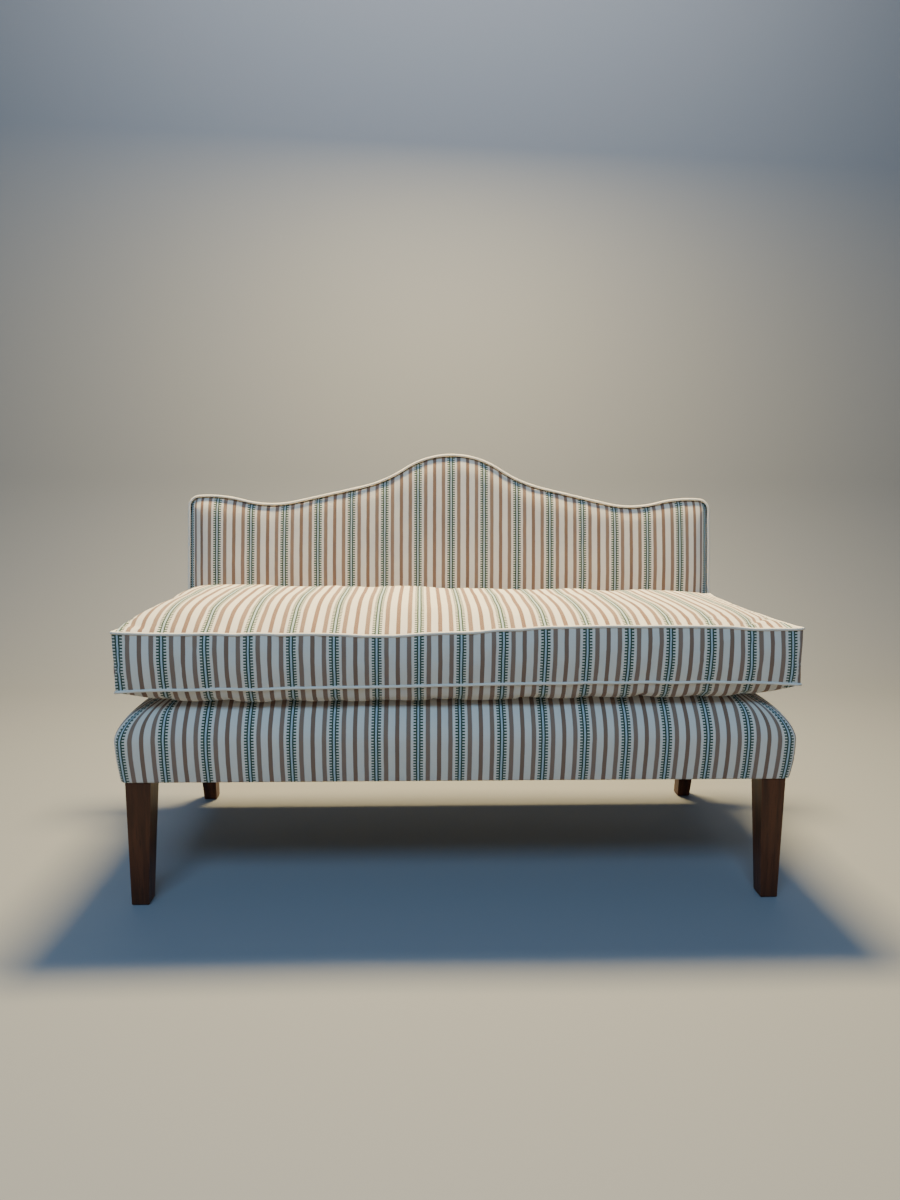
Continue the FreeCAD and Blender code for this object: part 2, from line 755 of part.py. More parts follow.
# Back upholstery, from the uprights forward and then the outside
back_straps = [
    back_box(
        f"back_strap_{index}", f"({index} - {BACK_STRAPS - 1}/2)*back_strap_pitch - strap_width/2",
        "tack_rail_low", POST_FRONT,
        "strap_width", "top_rail_low + strap_lap - tack_rail_low", "strap_thickness",
    )
    for index in range(BACK_STRAPS)
]
name_piece(group("back_webbing", back_straps), "back_webbing")
under_tack_rail = back_box(
    "under_tack_rail", "-base_width", "-base_top", "-base_width",
    "2*base_width", "base_top + tack_rail_low", "2*base_width",
)
HESSIAN_NEAR = f"({POST_FRONT} + strap_thickness)"
hessian_layer = back_layer("hessian_layer", "2*panel_inset", HESSIAN_NEAR, PAD_REAR)
name_piece(cut("back_hessian", hessian_layer, under_tack_rail), "back_hessian")

seat_flank = back_box(
    "seat_flank", "-base_width", "-base_top", f"{POST_FRONT} + upright_clearance",
    "2*base_width", "base_top + base_edge_radius", "base_width",
)
seat_and_below = fuse("seat_and_below", [cover_form, below_base, seat_flank])
BORDER_DEPTH = "(back_thickness - 2*pipe_radius)"
FACE_REAR = "(back_thickness - cover_thickness)"
pad_layer = back_layer("pad_layer", "border_thickness", PAD_REAR, BORDER_DEPTH)
pad_face = back_layer("pad_face", "panel_inset", BORDER_DEPTH, FACE_REAR)
name_piece(cut("back_padding", fuse("back_pads", [pad_layer, pad_face]), seat_and_below), "back_padding")
face_layer = back_layer("face_layer", "panel_inset", FACE_REAR, "back_thickness")
name_piece(cut("inside_back_cover", face_layer, seat_and_below), "inside_back_cover")
rim = layer("rim", back_outline, FORWARD, "0", BORDER_DEPTH)
rim_space = back_layer("rim_space", "border_thickness", "0", BORDER_DEPTH)
name_piece(cut("back_border", cut("rim_strip", rim, rim_space), seat_and_below), "back_border")
outside_layer = back_layer("outside_layer", "border_thickness", "0", "cover_thickness")
name_piece(cut("outside_back_cover", outside_layer, below_base), "outside_back_cover")
lining_layer = back_layer("lining_layer", "2*border_thickness", "cover_thickness", POST_REAR)
name_piece(cut("outside_back_lining", lining_layer, below_base), "outside_back_lining")


def piping(name, wire):
    """A piping cord along a wire: a plain many-sided section swept from the wire's start."""
    start = wire.OrderedEdges[0]
    at = start.valueAt(start.FirstParameter)
    turn = Rotation(Vector(0, 0, 1), start.tangentAt(start.FirstParameter))
    radius = turn.multVec(Vector(number("pipe_radius"), 0, 0))
    axis = turn.multVec(Vector(0, 0, 1))
    sides = int(number("pipe_sides"))
    corners = [at + Rotation(axis, 360 * side / sides).multVec(radius) for side in range(sides)]
    section = Part.makePolygon(corners + corners[:1])
    item = doc.addObject("Part::Feature", name)
    item.Shape = wire.makePipe(Part.Face(section))
    return item


pipe_line = inset_outline("pipe_line", back_outline, PIPE_INSET)
doc.recompute()
foot_level = min(edge.CenterOfMass.z for edge in pipe_line.Shape.Edges)
pipe_edges = [edge for edge in pipe_line.Shape.Edges if edge.CenterOfMass.z > foot_level + 1]
pipe_wire = Part.Wire(Part.__sortEdges__(pipe_edges))
back_cord = piping("back_cord", pipe_wire)
back_cord.Placement = Placement(FORWARD * number("back_thickness - pipe_radius"), Rotation())
name_piece(cut("back_piping", back_cord, seat_and_below), "back_piping")


# Loose cushion
def cushion_prism(name, inset, low, high):
    """A prism over the cushion's plan, inset all round, with round corners."""
    block = box(
        name + "_block", f"-cushion_width/2 + {inset}", f"{FRONT} + {inset}", low,
        f"cushion_width - 2*{inset}", f"cushion_depth - 2*{inset}", f"{high} - ({low})",
    )
    doc.recompute()
    radius = number(f"cushion_corner - {inset}")
    rounded = doc.addObject("Part::Fillet", name)
    rounded.Base = block
    rounded.Edges = [
        (index, radius, radius)
        for index, edge in enumerate(block.Shape.Edges, 1)
        if abs(edge.tangentAt(edge.FirstParameter).z) > 0.5
    ]
    return rounded


def end_arc(end, inner, level, crown):
    """An arc in the front view that leaves the level middle of a panel and falls to its end seam."""
    reach = abs(end - inner)
    radius = (reach ** 2 + crown ** 2) / (2 * abs(crown))
    half_turn = math.asin(reach / radius) / 2
    toward = math.copysign(1, end - inner)
    rise = math.copysign(1, crown)
    middle = Vector(
        inner + toward * radius * math.sin(half_turn), 0,
        level + crown - rise * radius * (1 - math.cos(half_turn)),
    )
    return Part.Arc(Vector(inner, 0, level + crown), middle, Vector(end, 0, level)).toShape()


def panel_line(level, crown):
    """A panel's line in the front view: flat over the middle, falling to the seams at both ends."""
    half = number("cushion_width/2")
    inner = number("cushion_width/2 - cushion_end")
    flat = Part.makeLine(Vector(-inner, 0, level + crown), Vector(inner, 0, level + crown))
    return [end_arc(-half, -inner, level, crown), flat, end_arc(half, inner, level, crown)]


def cushion_form(name, shift):
    """The stuffed cushion: its front view and its side view in common, moved up by shift."""
    half = number("cushion_width/2")
    front = number(FRONT)
    rear = number(CUSHION_REAR)
    low = number("cushion_low + cover_thickness") + shift
    high = number("cushion_high - cover_thickness") + shift
    crown = number("cushion_crown + cover_thickness")
    sag = number("cushion_sag")
    ends = [Part.makeLine(Vector(x, 0, low), Vector(x, 0, high)) for x in (-half, half)]
    front_view = Part.Wire(Part.__sortEdges__(panel_line(high, crown) + panel_line(low, -sag) + ends))
    centre = (front + rear) / 2
    arcs = [
        Part.Arc(Vector(0, front, level), Vector(0, centre, level + bow), Vector(0, rear, level)).toShape()
        for level, bow in ((high, crown), (low, -sag))
    ]
    faces = [Part.makeLine(Vector(0, y, low), Vector(0, y, high)) for y in (front, rear)]
    side_view = Part.Wire(Part.__sortEdges__(arcs + faces))
    long_form = Part.Face(side_view).extrude(Vector(2 * half, 0, 0))
    long_form.translate(Vector(-half, 0, 0))
    deep_form = Part.Face(front_view).extrude(Vector(0, rear - front, 0))
    deep_form.translate(Vector(0, front, 0))
    item = doc.addObject("Part::Feature", name)
    item.Shape = long_form.common(deep_form)
    return item


FABRIC = number("cover_thickness")
panel_space = cushion_prism("panel_space", "panel_inset", "base_bottom", "2*cushion_high")
stuffed_form = cushion_form("stuffed_form", 0)
lower_form = cushion_form("lower_form", -FABRIC)
raised_form = cushion_form("raised_form", FABRIC)
top_sheet = cut("top_sheet", stuffed_form, lower_form)
bottom_sheet = cut("bottom_sheet", stuffed_form, raised_form)
filling = common("filling", [lower_form, raised_form])
name_piece(common("cushion_top_panel", [top_sheet, panel_space]), "cushion_top_panel")
name_piece(common("cushion_bottom_panel", [bottom_sheet, panel_space]), "cushion_bottom_panel")

BORDER_LOW = "(cushion_low + pipe_radius)"
BORDER_HIGH = "(cushion_high - pipe_radius)"
border_outer = cushion_prism("border_outer", "border_inset", BORDER_LOW, BORDER_HIGH)
border_inner = cushion_prism("border_inner", "(border_inset + cover_thickness)", BORDER_LOW, BORDER_HIGH)
border_ring = cut("border_ring", border_outer, border_inner)
crowned_filling = common("crowned_filling", [filling, panel_space])
name_piece(fuse("cushion_pad", [crowned_filling, border_inner]), "cushion_pad")
REAR_LINE = f"({CUSHION_REAR} - cushion_corner)"
rear_space = box(
    "rear_space", "-cushion_width", REAR_LINE, BORDER_LOW,
    "2*cushion_width", "2*cushion_corner", f"{BORDER_HIGH} - {BORDER_LOW}",
)
zip_space = box(
    "zip_space", "-zip_length/2", REAR_LINE, f"{ZIP_HEIGHT} - tape_height/2",
    "zip_length", "2*cushion_corner", "tape_height",
)
name_piece(cut("cushion_border", border_ring, rear_space), "cushion_border")
name_piece(
    cut("cushion_rear_border", common("rear_strip", [border_ring, rear_space]), zip_space),
    "cushion_rear_border",
)
ZIP_FACE = f"({CUSHION_REAR} - border_inset - cover_thickness + tape_thickness)"
tape = box(
    "tape", "-zip_length/2", f"{ZIP_FACE} - tape_thickness", f"{ZIP_HEIGHT} - tape_height/2",
    "zip_length", "tape_thickness", "tape_height",
)
chain = box(
    "chain", "-zip_length/2", ZIP_FACE, f"{ZIP_HEIGHT} - chain_height/2",
    "zip_length", "chain_thickness", "chain_height",
)
name_piece(fuse("cushion_zip", [tape, chain]), "cushion_zip")

# Zip slider, closed at the right-hand end, with a channel over the chain and a pull
SLIDER_LEFT = "(zip_length/2 - 2*slider_length)"
SLIDER_FACE = f"({ZIP_FACE} + slider_gap)"
slider_block = box(
    "slider_block", SLIDER_LEFT, SLIDER_FACE, f"{ZIP_HEIGHT} - slider_height/2",
    "slider_length", "slider_thickness", "slider_height",
)
channel = box(
    "slider_channel", f"{SLIDER_LEFT} - 1", SLIDER_FACE, f"{ZIP_HEIGHT} - chain_height/2 - slider_gap",
    "slider_length + 2", "chain_thickness", "chain_height + 2*slider_gap",
)
pull = box(
    "slider_pull", f"{SLIDER_LEFT} + slider_length/4", f"{SLIDER_FACE} + slider_thickness - pull_thickness",
    f"{ZIP_HEIGHT} - slider_height/2 - pull_length", "slider_length/2", "pull_thickness", "pull_length",
)
name_piece(cut("zip_slider", fuse("slider_with_pull", [slider_block, pull]), channel), "zip_slider")

for name, level in (("cushion_top_piping", "cushion_high"), ("cushion_bottom_piping", "cushion_low")):
    slab = cushion_prism(name + "_line", PIPE_INSET, level, f"{level} + 1")
    doc.recompute()
    face = min(slab.Shape.Faces, key=lambda item: item.CenterOfMass.z)
    cord = piping(name, face.OuterWire)
    name_piece(cord, name)

# Check every object and write each sub-part
doc.recompute()
failed = [item.Name for item in doc.Objects if {"Invalid", "Error"} & set(item.State)]
failed += [item.Label for item in subparts if item.Shape.isNull() or not item.Shape.isValid()]
if failed:
    raise SystemExit("failed: " + ", ".join(failed))
os.makedirs("parts", exist_ok=True)
for item in subparts:
    item.Shape.exportStep(f"parts/{item.Label}.step")
    print(item.Label, len(item.Shape.Solids), round(item.Shape.Volume / 1000), "cm3")
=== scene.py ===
"""Looks of the banquette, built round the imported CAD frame. Metres, front towards -Y."""

import json
import math

import bmesh
import bpy
import numpy as np
from mathutils import Euler, Matrix, Vector, kdtree


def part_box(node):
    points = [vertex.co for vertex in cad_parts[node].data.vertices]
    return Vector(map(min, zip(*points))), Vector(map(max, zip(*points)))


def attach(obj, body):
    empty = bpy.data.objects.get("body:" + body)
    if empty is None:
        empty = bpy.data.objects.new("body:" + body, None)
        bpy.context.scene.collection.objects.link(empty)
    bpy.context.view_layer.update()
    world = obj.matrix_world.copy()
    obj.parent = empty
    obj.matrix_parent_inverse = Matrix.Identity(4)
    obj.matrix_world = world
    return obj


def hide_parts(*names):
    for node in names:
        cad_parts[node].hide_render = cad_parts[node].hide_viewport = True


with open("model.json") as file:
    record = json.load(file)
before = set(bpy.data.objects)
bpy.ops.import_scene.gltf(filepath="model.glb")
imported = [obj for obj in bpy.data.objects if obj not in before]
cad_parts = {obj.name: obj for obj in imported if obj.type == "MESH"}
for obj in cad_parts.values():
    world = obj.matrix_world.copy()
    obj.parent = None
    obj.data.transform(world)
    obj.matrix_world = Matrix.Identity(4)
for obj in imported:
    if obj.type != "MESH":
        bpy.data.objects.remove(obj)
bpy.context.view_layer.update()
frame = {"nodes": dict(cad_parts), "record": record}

# Striped fabric, its bands as shares of the repeat from the middle of the blue line
REPEAT = 0.0762
STRIPE_MAP = "stripe"
CREAM_OFFSET = 0.37 * REPEAT
BLUE_END = 0.023
SPINE = (0.020, 0.056)
TEETH = (0.052, 0.115)
TOOTH_PITCH = 0.0054
TOOTH_EDGE = -0.15
TOOTH_SOFTNESS = 0.15
SPECKLED_BAR = (0.178, 0.286)
SPECKLE_PITCH = 0.0030
SPECKLE_SOFTNESS = 0.010
SOLID_BAR = 0.449
BAND_SOFTNESS = 0.005
BAND_DRIFT = 0.0006
WEAVE_PITCH = 0.0011
WEAVE_DEPTH = 0.00035
THREAD_DEPTH = 0.8
CREAM = (0.78, 0.72, 0.61, 1.0)
BROWN = (0.250, 0.150, 0.098, 1.0)
BLUE = (0.49, 0.58, 0.60, 1.0)
GREEN = (0.034, 0.074, 0.042, 1.0)
CLOTH_THICKNESS = 0.0012
PIPE_CLOTH_SHARE = 0.2
PIPE_SIDE = (0.0, 0.31, 0.95)

# Seat base
BASE_LOW, BASE_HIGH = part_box("seat_cover")
BASE_HALF = BASE_HIGH[0]
BASE_FRONT = BASE_LOW[1]
BASE_BOTTOM = BASE_LOW[2]
BASE_TOP = BASE_HIGH[2]
BASE_FRONT_ROLL = 0.095
BASE_SIDE_ROLL = 0.108
BASE_ROUNDNESS = 1.8
BASE_CORNER = 0.014
BASE_FRONT_HEM = 0.009
BASE_SIDE_HEM = 0.003
BASE_WIDEST = 0.312
BASE_TUCK = 0.034
BASE_FLAT = 0.012
BASE_PLEAT = 0.055
BASE_EASE = 0.075
BASE_SHIFT = -0.0025
BASE_SPREAD = 1.019
BASE_CORNER_GROWTH = 0.6
BASE_REAR = 0.17075
BASE_REAR_LEVEL = 0.24106
BASE_REAR_SLOPE = 0.1494
BASE_SWELL = 0.0012
BASE_PULL = 0.0007
LIP_INSETS = (0.008, 0.003, 0.0006)
LIP_RISES = (0.0005, 0.0, 0.0006, 0.002)
WALL_START = 0.004
DECK_DIP = 0.0015
DECK_FADE = 0.05
WALL_ROWS = 26
ROLL_ROWS = 32
FLAT_ROWS = 4
FRONT_COLUMNS = 221
CORNER_COLUMNS = 15
SIDE_COLUMNS = 70

# Back, in its own raked frame: across, up and forward of the outside face
RAKE = math.radians(8.5)
BACK_ORIGIN = (0.0, 0.2073, 0.235)
BACK_HALF = 0.610
CROWN_HEIGHT = 0.600
CROWN_RADIUS = 0.204
SHOULDER_RADIUS = 0.316
SLOPE = math.radians(13)
TROUGH = (0.419, 0.482)
TROUGH_RADIUS = 0.250
HUMP_OFFSET = 0.561
HUMP_RADIUS = 0.300
CORNER_RADIUS = 0.028
BACK_FACE = 0.074
PIPE_RADIUS = 0.0028
PIPE_INSET = 0.0034
OUTLINE_STEP = 0.0045
BACK_SHIFT = -0.003
BACK_SPREAD = 0.990
FACE_LOW = 0.125
FACE_INSET = PIPE_INSET + 0.0046
FACE_FULLNESS = 0.0075
FACE_TUCK = 0.0600
TOP_ROLL = 0.010
TOP_ROLL_REACH = 0.011
TOP_SLOPE = 0.006
TOP_SLOPE_REACH = 0.090
SIDE_ROLL = 0.012
SIDE_ROLL_REACH = 0.018
FACE_WRAP = 0.022
FACE_WRAP_REACH = 0.014
FACE_UNEVEN = 0.0009
FACE_PULL = 0.0006
BORDER_FRONT = 0.0675
BORDER_FRONT_LOW = 0.0405
BORDER_STEP = 0.345
BORDER_INSET = 0.0002
BORDER_CROWN = 0.0016
OUTSIDE_LOW = 0.001
OUTSIDE_INSET = 0.0016
OUTSIDE_EDGE = 0.0004
OUTSIDE_SINK = 0.0005
OUTSIDE_BOW = 0.00024
PIPE_LOW = 0.115
PIPE_SINK = 0.001
PIPE_WANDER = 0.0004
FACE_ROWS = 90
OUTSIDE_ROWS = 60
BACK_BORDER_ROWS = 15

# Cushion
CUSHION_HALF = 0.6005
CUSHION_FRONT = -0.2925
CUSHION_REAR = 0.1512
CUSHION_LOW = 0.412
CUSHION_HIGH = 0.515
CUSHION_TOP = 0.5415
CUSHION_SAG = 0.0055
CUSHION_HANG = 0.036
CUSHION_PIPE = 0.0029
CUSHION_GAP = 0.0008
CUSHION_SHIFT = -0.0024
CUSHION_SPREAD = 1.0345
CUSHION_PRESSURE = 4.0
CUSHION_SLACK = 0.012
CUSHION_GIVE = 0.010
CUSHION_CLOTH_MASS = 0.3
CUSHION_STIFFNESS = 0.6
CUSHION_QUALITY = 5
FILLING_FRAMES = 20
CUSHION_COLUMNS = 171
CUSHION_ROWS = 65
BORDER_ROWS = 21
FRONT_BULGE = 0.005
RIGHT_BULGE = 0.0065
LEFT_BULGE = 0.0030
TOP_UNEVEN = 0.0016
LOWER_SETBACK = 0.004
SIDE_PULL = 0.004
RIGHT_OVERHANG = 0.0045
FRONT_PULL = 0.0045
CORNER_EAR = 0.004
SEAM_WANDER = 0.0008
UPPER_START = 0.0065
UPPER_RISE = 0.0145
UPPER_RISE_RUN = (-0.12, 0.25)
UPPER_DIP = 0.0035
UPPER_DIP_PLACE = -0.14
UPPER_DIP_REACH = 0.05
UPPER_END = 0.006
UPPER_END_RUN = (0.42, 0.56)
LOWER_START = 0.0025
LOWER_RISE = 0.012
LOWER_RISE_RUN = (-0.55, 0.35)

# Camera, fitted to the photograph
CAMERA_PLACE = (-0.0742, -1.6049, 0.7649)
CAMERA_TILT = math.radians(90 - 8.44)
CAMERA_TURN = math.radians(-2.232)
CAMERA_ROLL = math.radians(0.459)
CAMERA_LENS = 23.13
CAMERA_SENSOR = 36

# Staging
FLOOR_HALF = 6.0
FLOOR_FRONT = -6.0
SWEEP_START = 1.2
SWEEP_RADIUS = 0.8
BACKDROP_HEIGHT = 5.0
FLOOR_TONE = (0.225, 0.235, 0.25, 1.0)
SKY_TONE = (0.62, 0.78, 1.0, 1.0)
SKY_STRENGTH = 0.25


def smooth(start, end, value):
    share = np.clip((value - start) / (end - start), 0, 1)
    return share * share * (3 - 2 * share)


def waves(first, second, length, seed, count=7):
    """Smooth irregular waves of about the given length, mostly between -1 and 1."""
    draw = np.random.default_rng(seed)
    total = 0
    for _ in range(count):
        angle = draw.uniform(0, 2 * math.pi)
        pitch = length * draw.uniform(0.7, 1.5)
        phase = draw.uniform(0, 2 * math.pi)
        along = first * math.cos(angle) + second * math.sin(angle)
        total = total + np.sin(2 * math.pi * along / pitch + phase)
    return total / math.sqrt(2 * count)


def fall(share, power, softness):
    """From 1 in the middle of a span to 0 at its ends, for shares of -1 to 1."""
    return (1 - np.abs(share) ** power) ** softness


def stack(*parts):
    return np.stack(np.broadcast_arrays(*parts), axis=-1)


def make_piece(name, patches, body, closed=False, thickness=0.0):
    """One smooth mesh from grids of points with their fabric coordinates, welded where they meet."""
    points, fabrics, faces = [], [], []
    start = 0
    for grid, fabric in patches:
        rows, columns = grid.shape[:2]
        index = start + np.arange(rows * columns).reshape(rows, columns)
        corners = (index[:-1, :-1], index[:-1, 1:], index[1:, 1:], index[1:, :-1])
        faces.append(np.stack(corners, axis=-1).reshape(-1, 4))
        points.append(grid.reshape(-1, 3))
        fabrics.append(fabric.reshape(-1, 2))
        start += rows * columns
    faces = np.concatenate(faces)
    mesh = bpy.data.meshes.new(name)
    mesh.from_pydata(np.concatenate(points).tolist(), [], faces.tolist())
    layer = mesh.uv_layers.new(name=STRIPE_MAP)
    layer.data.foreach_set("uv", np.concatenate(fabrics)[faces.ravel()].ravel())
    shape = bmesh.new()
    shape.from_mesh(mesh)
    bmesh.ops.remove_doubles(shape, verts=shape.verts, dist=1e-5)
    if closed:
        bmesh.ops.recalc_face_normals(shape, faces=shape.faces)
    for face in shape.faces:
        face.smooth = True
    shape.to_mesh(mesh)
    shape.free()
    piece = bpy.data.objects.new(name, mesh)
    bpy.context.scene.collection.objects.link(piece)
    if thickness:
        shell = piece.modifiers.new("cloth", "SOLIDIFY")
        shell.thickness = thickness
        shell.offset = -1
    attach(piece, body)
    return piece


def make_tube(name, path, radius, body, closed=False, sides=10):
    """A round piping along a path of points."""
    path = np.asarray(path)
    if closed:
        ahead = np.roll(path, -1, axis=0) - np.roll(path, 1, axis=0)
    else:
        ahead = np.gradient(path, axis=0)
    ahead = ahead / np.linalg.norm(ahead, axis=1, keepdims=True)
    across = np.cross(ahead, PIPE_SIDE)
    across = across / np.linalg.norm(across, axis=1, keepdims=True)
    over = np.cross(across, ahead)
    angles = np.linspace(0, 2 * math.pi, sides + 1)
    ring = np.cos(angles)[None, :, None] * across[:, None] + np.sin(angles)[None, :, None] * over[:, None]
    grid = path[:, None] + radius * ring
    length = np.concatenate([[0], np.cumsum(np.linalg.norm(np.diff(path, axis=0), axis=1))])
    girth = radius * (angles[None, :] - math.pi) * PIPE_CLOTH_SHARE
    fabric = stack(CREAM_OFFSET + girth, length[:, None])
    if closed:
        grid = np.concatenate([grid, grid[:1]])
        fabric = np.concatenate([fabric, fabric[-1:]])
    return make_piece(name, [(grid, fabric)], body, closed=True)


# Materials
class Shader:
    """A procedural material, with short calls for its nodes."""

    def __init__(self, name):
        self.material = bpy.data.materials.new(name)
        self.material.use_nodes = True
        self.nodes = self.material.node_tree.nodes
        self.links = self.material.node_tree.links
        self.surface = self.nodes["Principled BSDF"]

    def join(self, socket, value):
        if isinstance(value, bpy.types.NodeSocket):
            self.links.new(value, socket)
        else:
            socket.default_value = value

    def math(self, operation, first, second=0.0):
        node = self.nodes.new("ShaderNodeMath")
        node.operation = operation
        self.join(node.inputs[0], first)
        self.join(node.inputs[1], second)
        return node.outputs[0]

    def blend(self, amount, first, second):
        node = self.nodes.new("ShaderNodeMix")
        node.data_type = "RGBA"
        self.join(node.inputs["Factor"], amount)
        self.join(node.inputs[6], first)
        self.join(node.inputs[7], second)
        return node.outputs[2]

    def step(self, value, edge, softness):
        node = self.nodes.new("ShaderNodeMapRange")
        node.interpolation_type = "SMOOTHSTEP"
        self.join(node.inputs[0], value)
        node.inputs[1].default_value = edge - softness
        node.inputs[2].default_value = edge + softness
        return node.outputs[0]

    def between(self, value, low, high, softness):
        return self.math("SUBTRACT", self.step(value, low, softness), self.step(value, high, softness))

    def place(self, stretch):
        """Coordinates in metres, stretched along each axis."""
        where = self.nodes.new("ShaderNodeTexCoord")
        node = self.nodes.new("ShaderNodeVectorMath")
        node.operation = "MULTIPLY"
        self.links.new(where.outputs["Object"], node.inputs[0])
        node.inputs[1].default_value = stretch
        return node.outputs[0]

    def noise(self, vector, detail=2.0):
        node = self.nodes.new("ShaderNodeTexNoise")
        self.join(node.inputs["Vector"], vector)
        node.inputs["Scale"].default_value = 1.0
        node.inputs["Detail"].default_value = detail
        return node.outputs["Fac"]

    def split(self, vector):
        node = self.nodes.new("ShaderNodeSeparateXYZ")
        self.links.new(vector, node.inputs[0])
        return node.outputs

    def stretched(self, first, first_scale, second, second_scale):
        """Two coordinates as a vector, each scaled."""
        node = self.nodes.new("ShaderNodeCombineXYZ")
        self.links.new(self.math("MULTIPLY", first, first_scale), node.inputs[0])
        self.links.new(self.math("MULTIPLY", second, second_scale), node.inputs[1])
        return node.outputs[0]

    def scaled(self, value, low, high):
        """A value between 0 and 1 spread from low to high."""
        return self.math("ADD", self.math("MULTIPLY", value, high - low), low)

    def close(self, colour, roughness, height, depth, settings):
        bump = self.nodes.new("ShaderNodeBump")
        bump.inputs["Distance"].default_value = depth
        self.join(bump.inputs["Height"], height)
        self.links.new(bump.outputs[0], self.surface.inputs["Normal"])
        self.join(self.surface.inputs["Base Color"], colour)
        self.join(self.surface.inputs["Roughness"], roughness)
        for label, value in settings.items():
            self.surface.inputs[label].default_value = value
        return self.material


def tone(red, green, blue):
    return (red, green, blue, 1.0)


def woven(shader, first, second, pitch):
    """Height of a plain weave: threads over and under each other."""
    turn = 2 * math.pi / pitch
    warp = shader.math("SINE", shader.math("MULTIPLY", first, turn))
    weft = shader.math("SINE", shader.math("MULTIPLY", second, turn))
    return shader.scaled(shader.math("MULTIPLY", warp, weft), 0.5, 1.0)


def striped_fabric():
    shader = Shader("striped_fabric")
    source = shader.nodes.new("ShaderNodeUVMap")
    source.uv_map = STRIPE_MAP
    across, along, _ = shader.split(source.outputs[0])
    drift = shader.noise(shader.stretched(across, 30.0, along, 30.0))
    place = shader.math("ADD", across, shader.scaled(drift, -BAND_DRIFT, BAND_DRIFT))
    turn = shader.math("ADD", shader.math("DIVIDE", place, REPEAT), 0.5)
    offset = shader.math("ABSOLUTE", shader.math("SUBTRACT", shader.math("FRACT", turn), 0.5))
    # Blue line between two green combs
    wave = shader.math("SINE", shader.math("MULTIPLY", along, 2 * math.pi / TOOTH_PITCH))
    tooth = shader.step(wave, TOOTH_EDGE, TOOTH_SOFTNESS)
    spine = shader.between(offset, *SPINE, BAND_SOFTNESS)
    teeth = shader.math("MULTIPLY", shader.between(offset, *TEETH, BAND_SOFTNESS), tooth)
    green = shader.math("MAXIMUM", spine, teeth)
    blue = shader.math("SUBTRACT", 1.0, shader.step(offset, BLUE_END, BAND_SOFTNESS))
    # Speckled and solid brown bars
    dots = woven(shader, across, along, SPECKLE_PITCH)
    speckled = shader.between(offset, *SPECKLED_BAR, SPECKLE_SOFTNESS)
    speckled = shader.math("MULTIPLY", speckled, shader.scaled(dots, 0.88, 1.0))
    brown = shader.math("MAXIMUM", speckled, shader.step(offset, SOLID_BAR, BAND_SOFTNESS))
    colour = shader.blend(brown, CREAM, BROWN)
    colour = shader.blend(blue, colour, BLUE)
    colour = shader.blend(green, colour, GREEN)
    # Uneven threads both ways
    slubs = shader.noise(shader.stretched(across, 900.0, along, 60.0), 3.0)
    weft = shader.noise(shader.stretched(across, 60.0, along, 900.0), 3.0)
    threads = shader.math("ADD", slubs, weft)
    shade = shader.scaled(threads, 0.86, 1.0)
    colour = shader.blend(shade, tone(0.0, 0.0, 0.0), colour)
    weave = woven(shader, across, along, WEAVE_PITCH)
    height = shader.math("ADD", weave, shader.math("MULTIPLY", threads, THREAD_DEPTH))
    rough = shader.scaled(slubs, 0.78, 0.95)
    return shader.close(
        colour, rough, height, WEAVE_DEPTH,
        {"Sheen Weight": 0.18, "Sheen Roughness": 0.45, "Specular IOR Level": 0.2},
    )


def wood(name, dark, light, rough, coat):
    shader = Shader(name)
    grain = shader.noise(shader.place((70.0, 70.0, 5.0)), 5.0)
    pores = shader.noise(shader.place((420.0, 420.0, 22.0)), 2.0)
    figure = shader.noise(shader.place((14.0, 14.0, 2.0)), 3.0)
    streak = shader.math("ADD", shader.math("MULTIPLY", grain, 0.65), shader.math("MULTIPLY", figure, 0.35))
    colour = shader.blend(shader.step(streak, 0.5, 0.16), dark, light)
    colour = shader.blend(shader.math("MULTIPLY", shader.step(pores, 0.62, 0.05), 0.5), colour, dark)
    return shader.close(
        colour, shader.scaled(grain, rough - 0.08, rough + 0.10), shader.math("ADD", grain, pores), 0.0004,
        {"Coat Weight": coat, "Coat Roughness": 0.2, "Specular IOR Level": 0.28},
    )


def cloth(name, low, high, pitch, depth):
    shader = Shader(name)
    x, y, z = shader.split(shader.place((1.0, 1.0, 1.0)))
    second = shader.math("ADD", y, z)
    weave = woven(shader, x, second, pitch)
    fibres = shader.noise(shader.place((700.0, 700.0, 700.0)), 3.0)
    mottle = shader.math("ADD", shader.math("MULTIPLY", weave, 0.5), shader.math("MULTIPLY", fibres, 0.5))
    colour = shader.blend(mottle, low, high)
    return shader.close(
        colour, shader.scaled(fibres, 0.8, 0.98), mottle, depth,
        {"Sheen Weight": 0.1, "Specular IOR Level": 0.15},
    )


def metal(name, colour):
    shader = Shader(name)
    brushed = shader.noise(shader.place((60.0, 900.0, 900.0)), 3.0)
    tint = shader.blend(brushed, tone(*(part * 0.8 for part in colour)), tone(*colour))
    return shader.close(tint, shader.scaled(brushed, 0.25, 0.42), brushed, 0.00005, {"Metallic": 1.0})


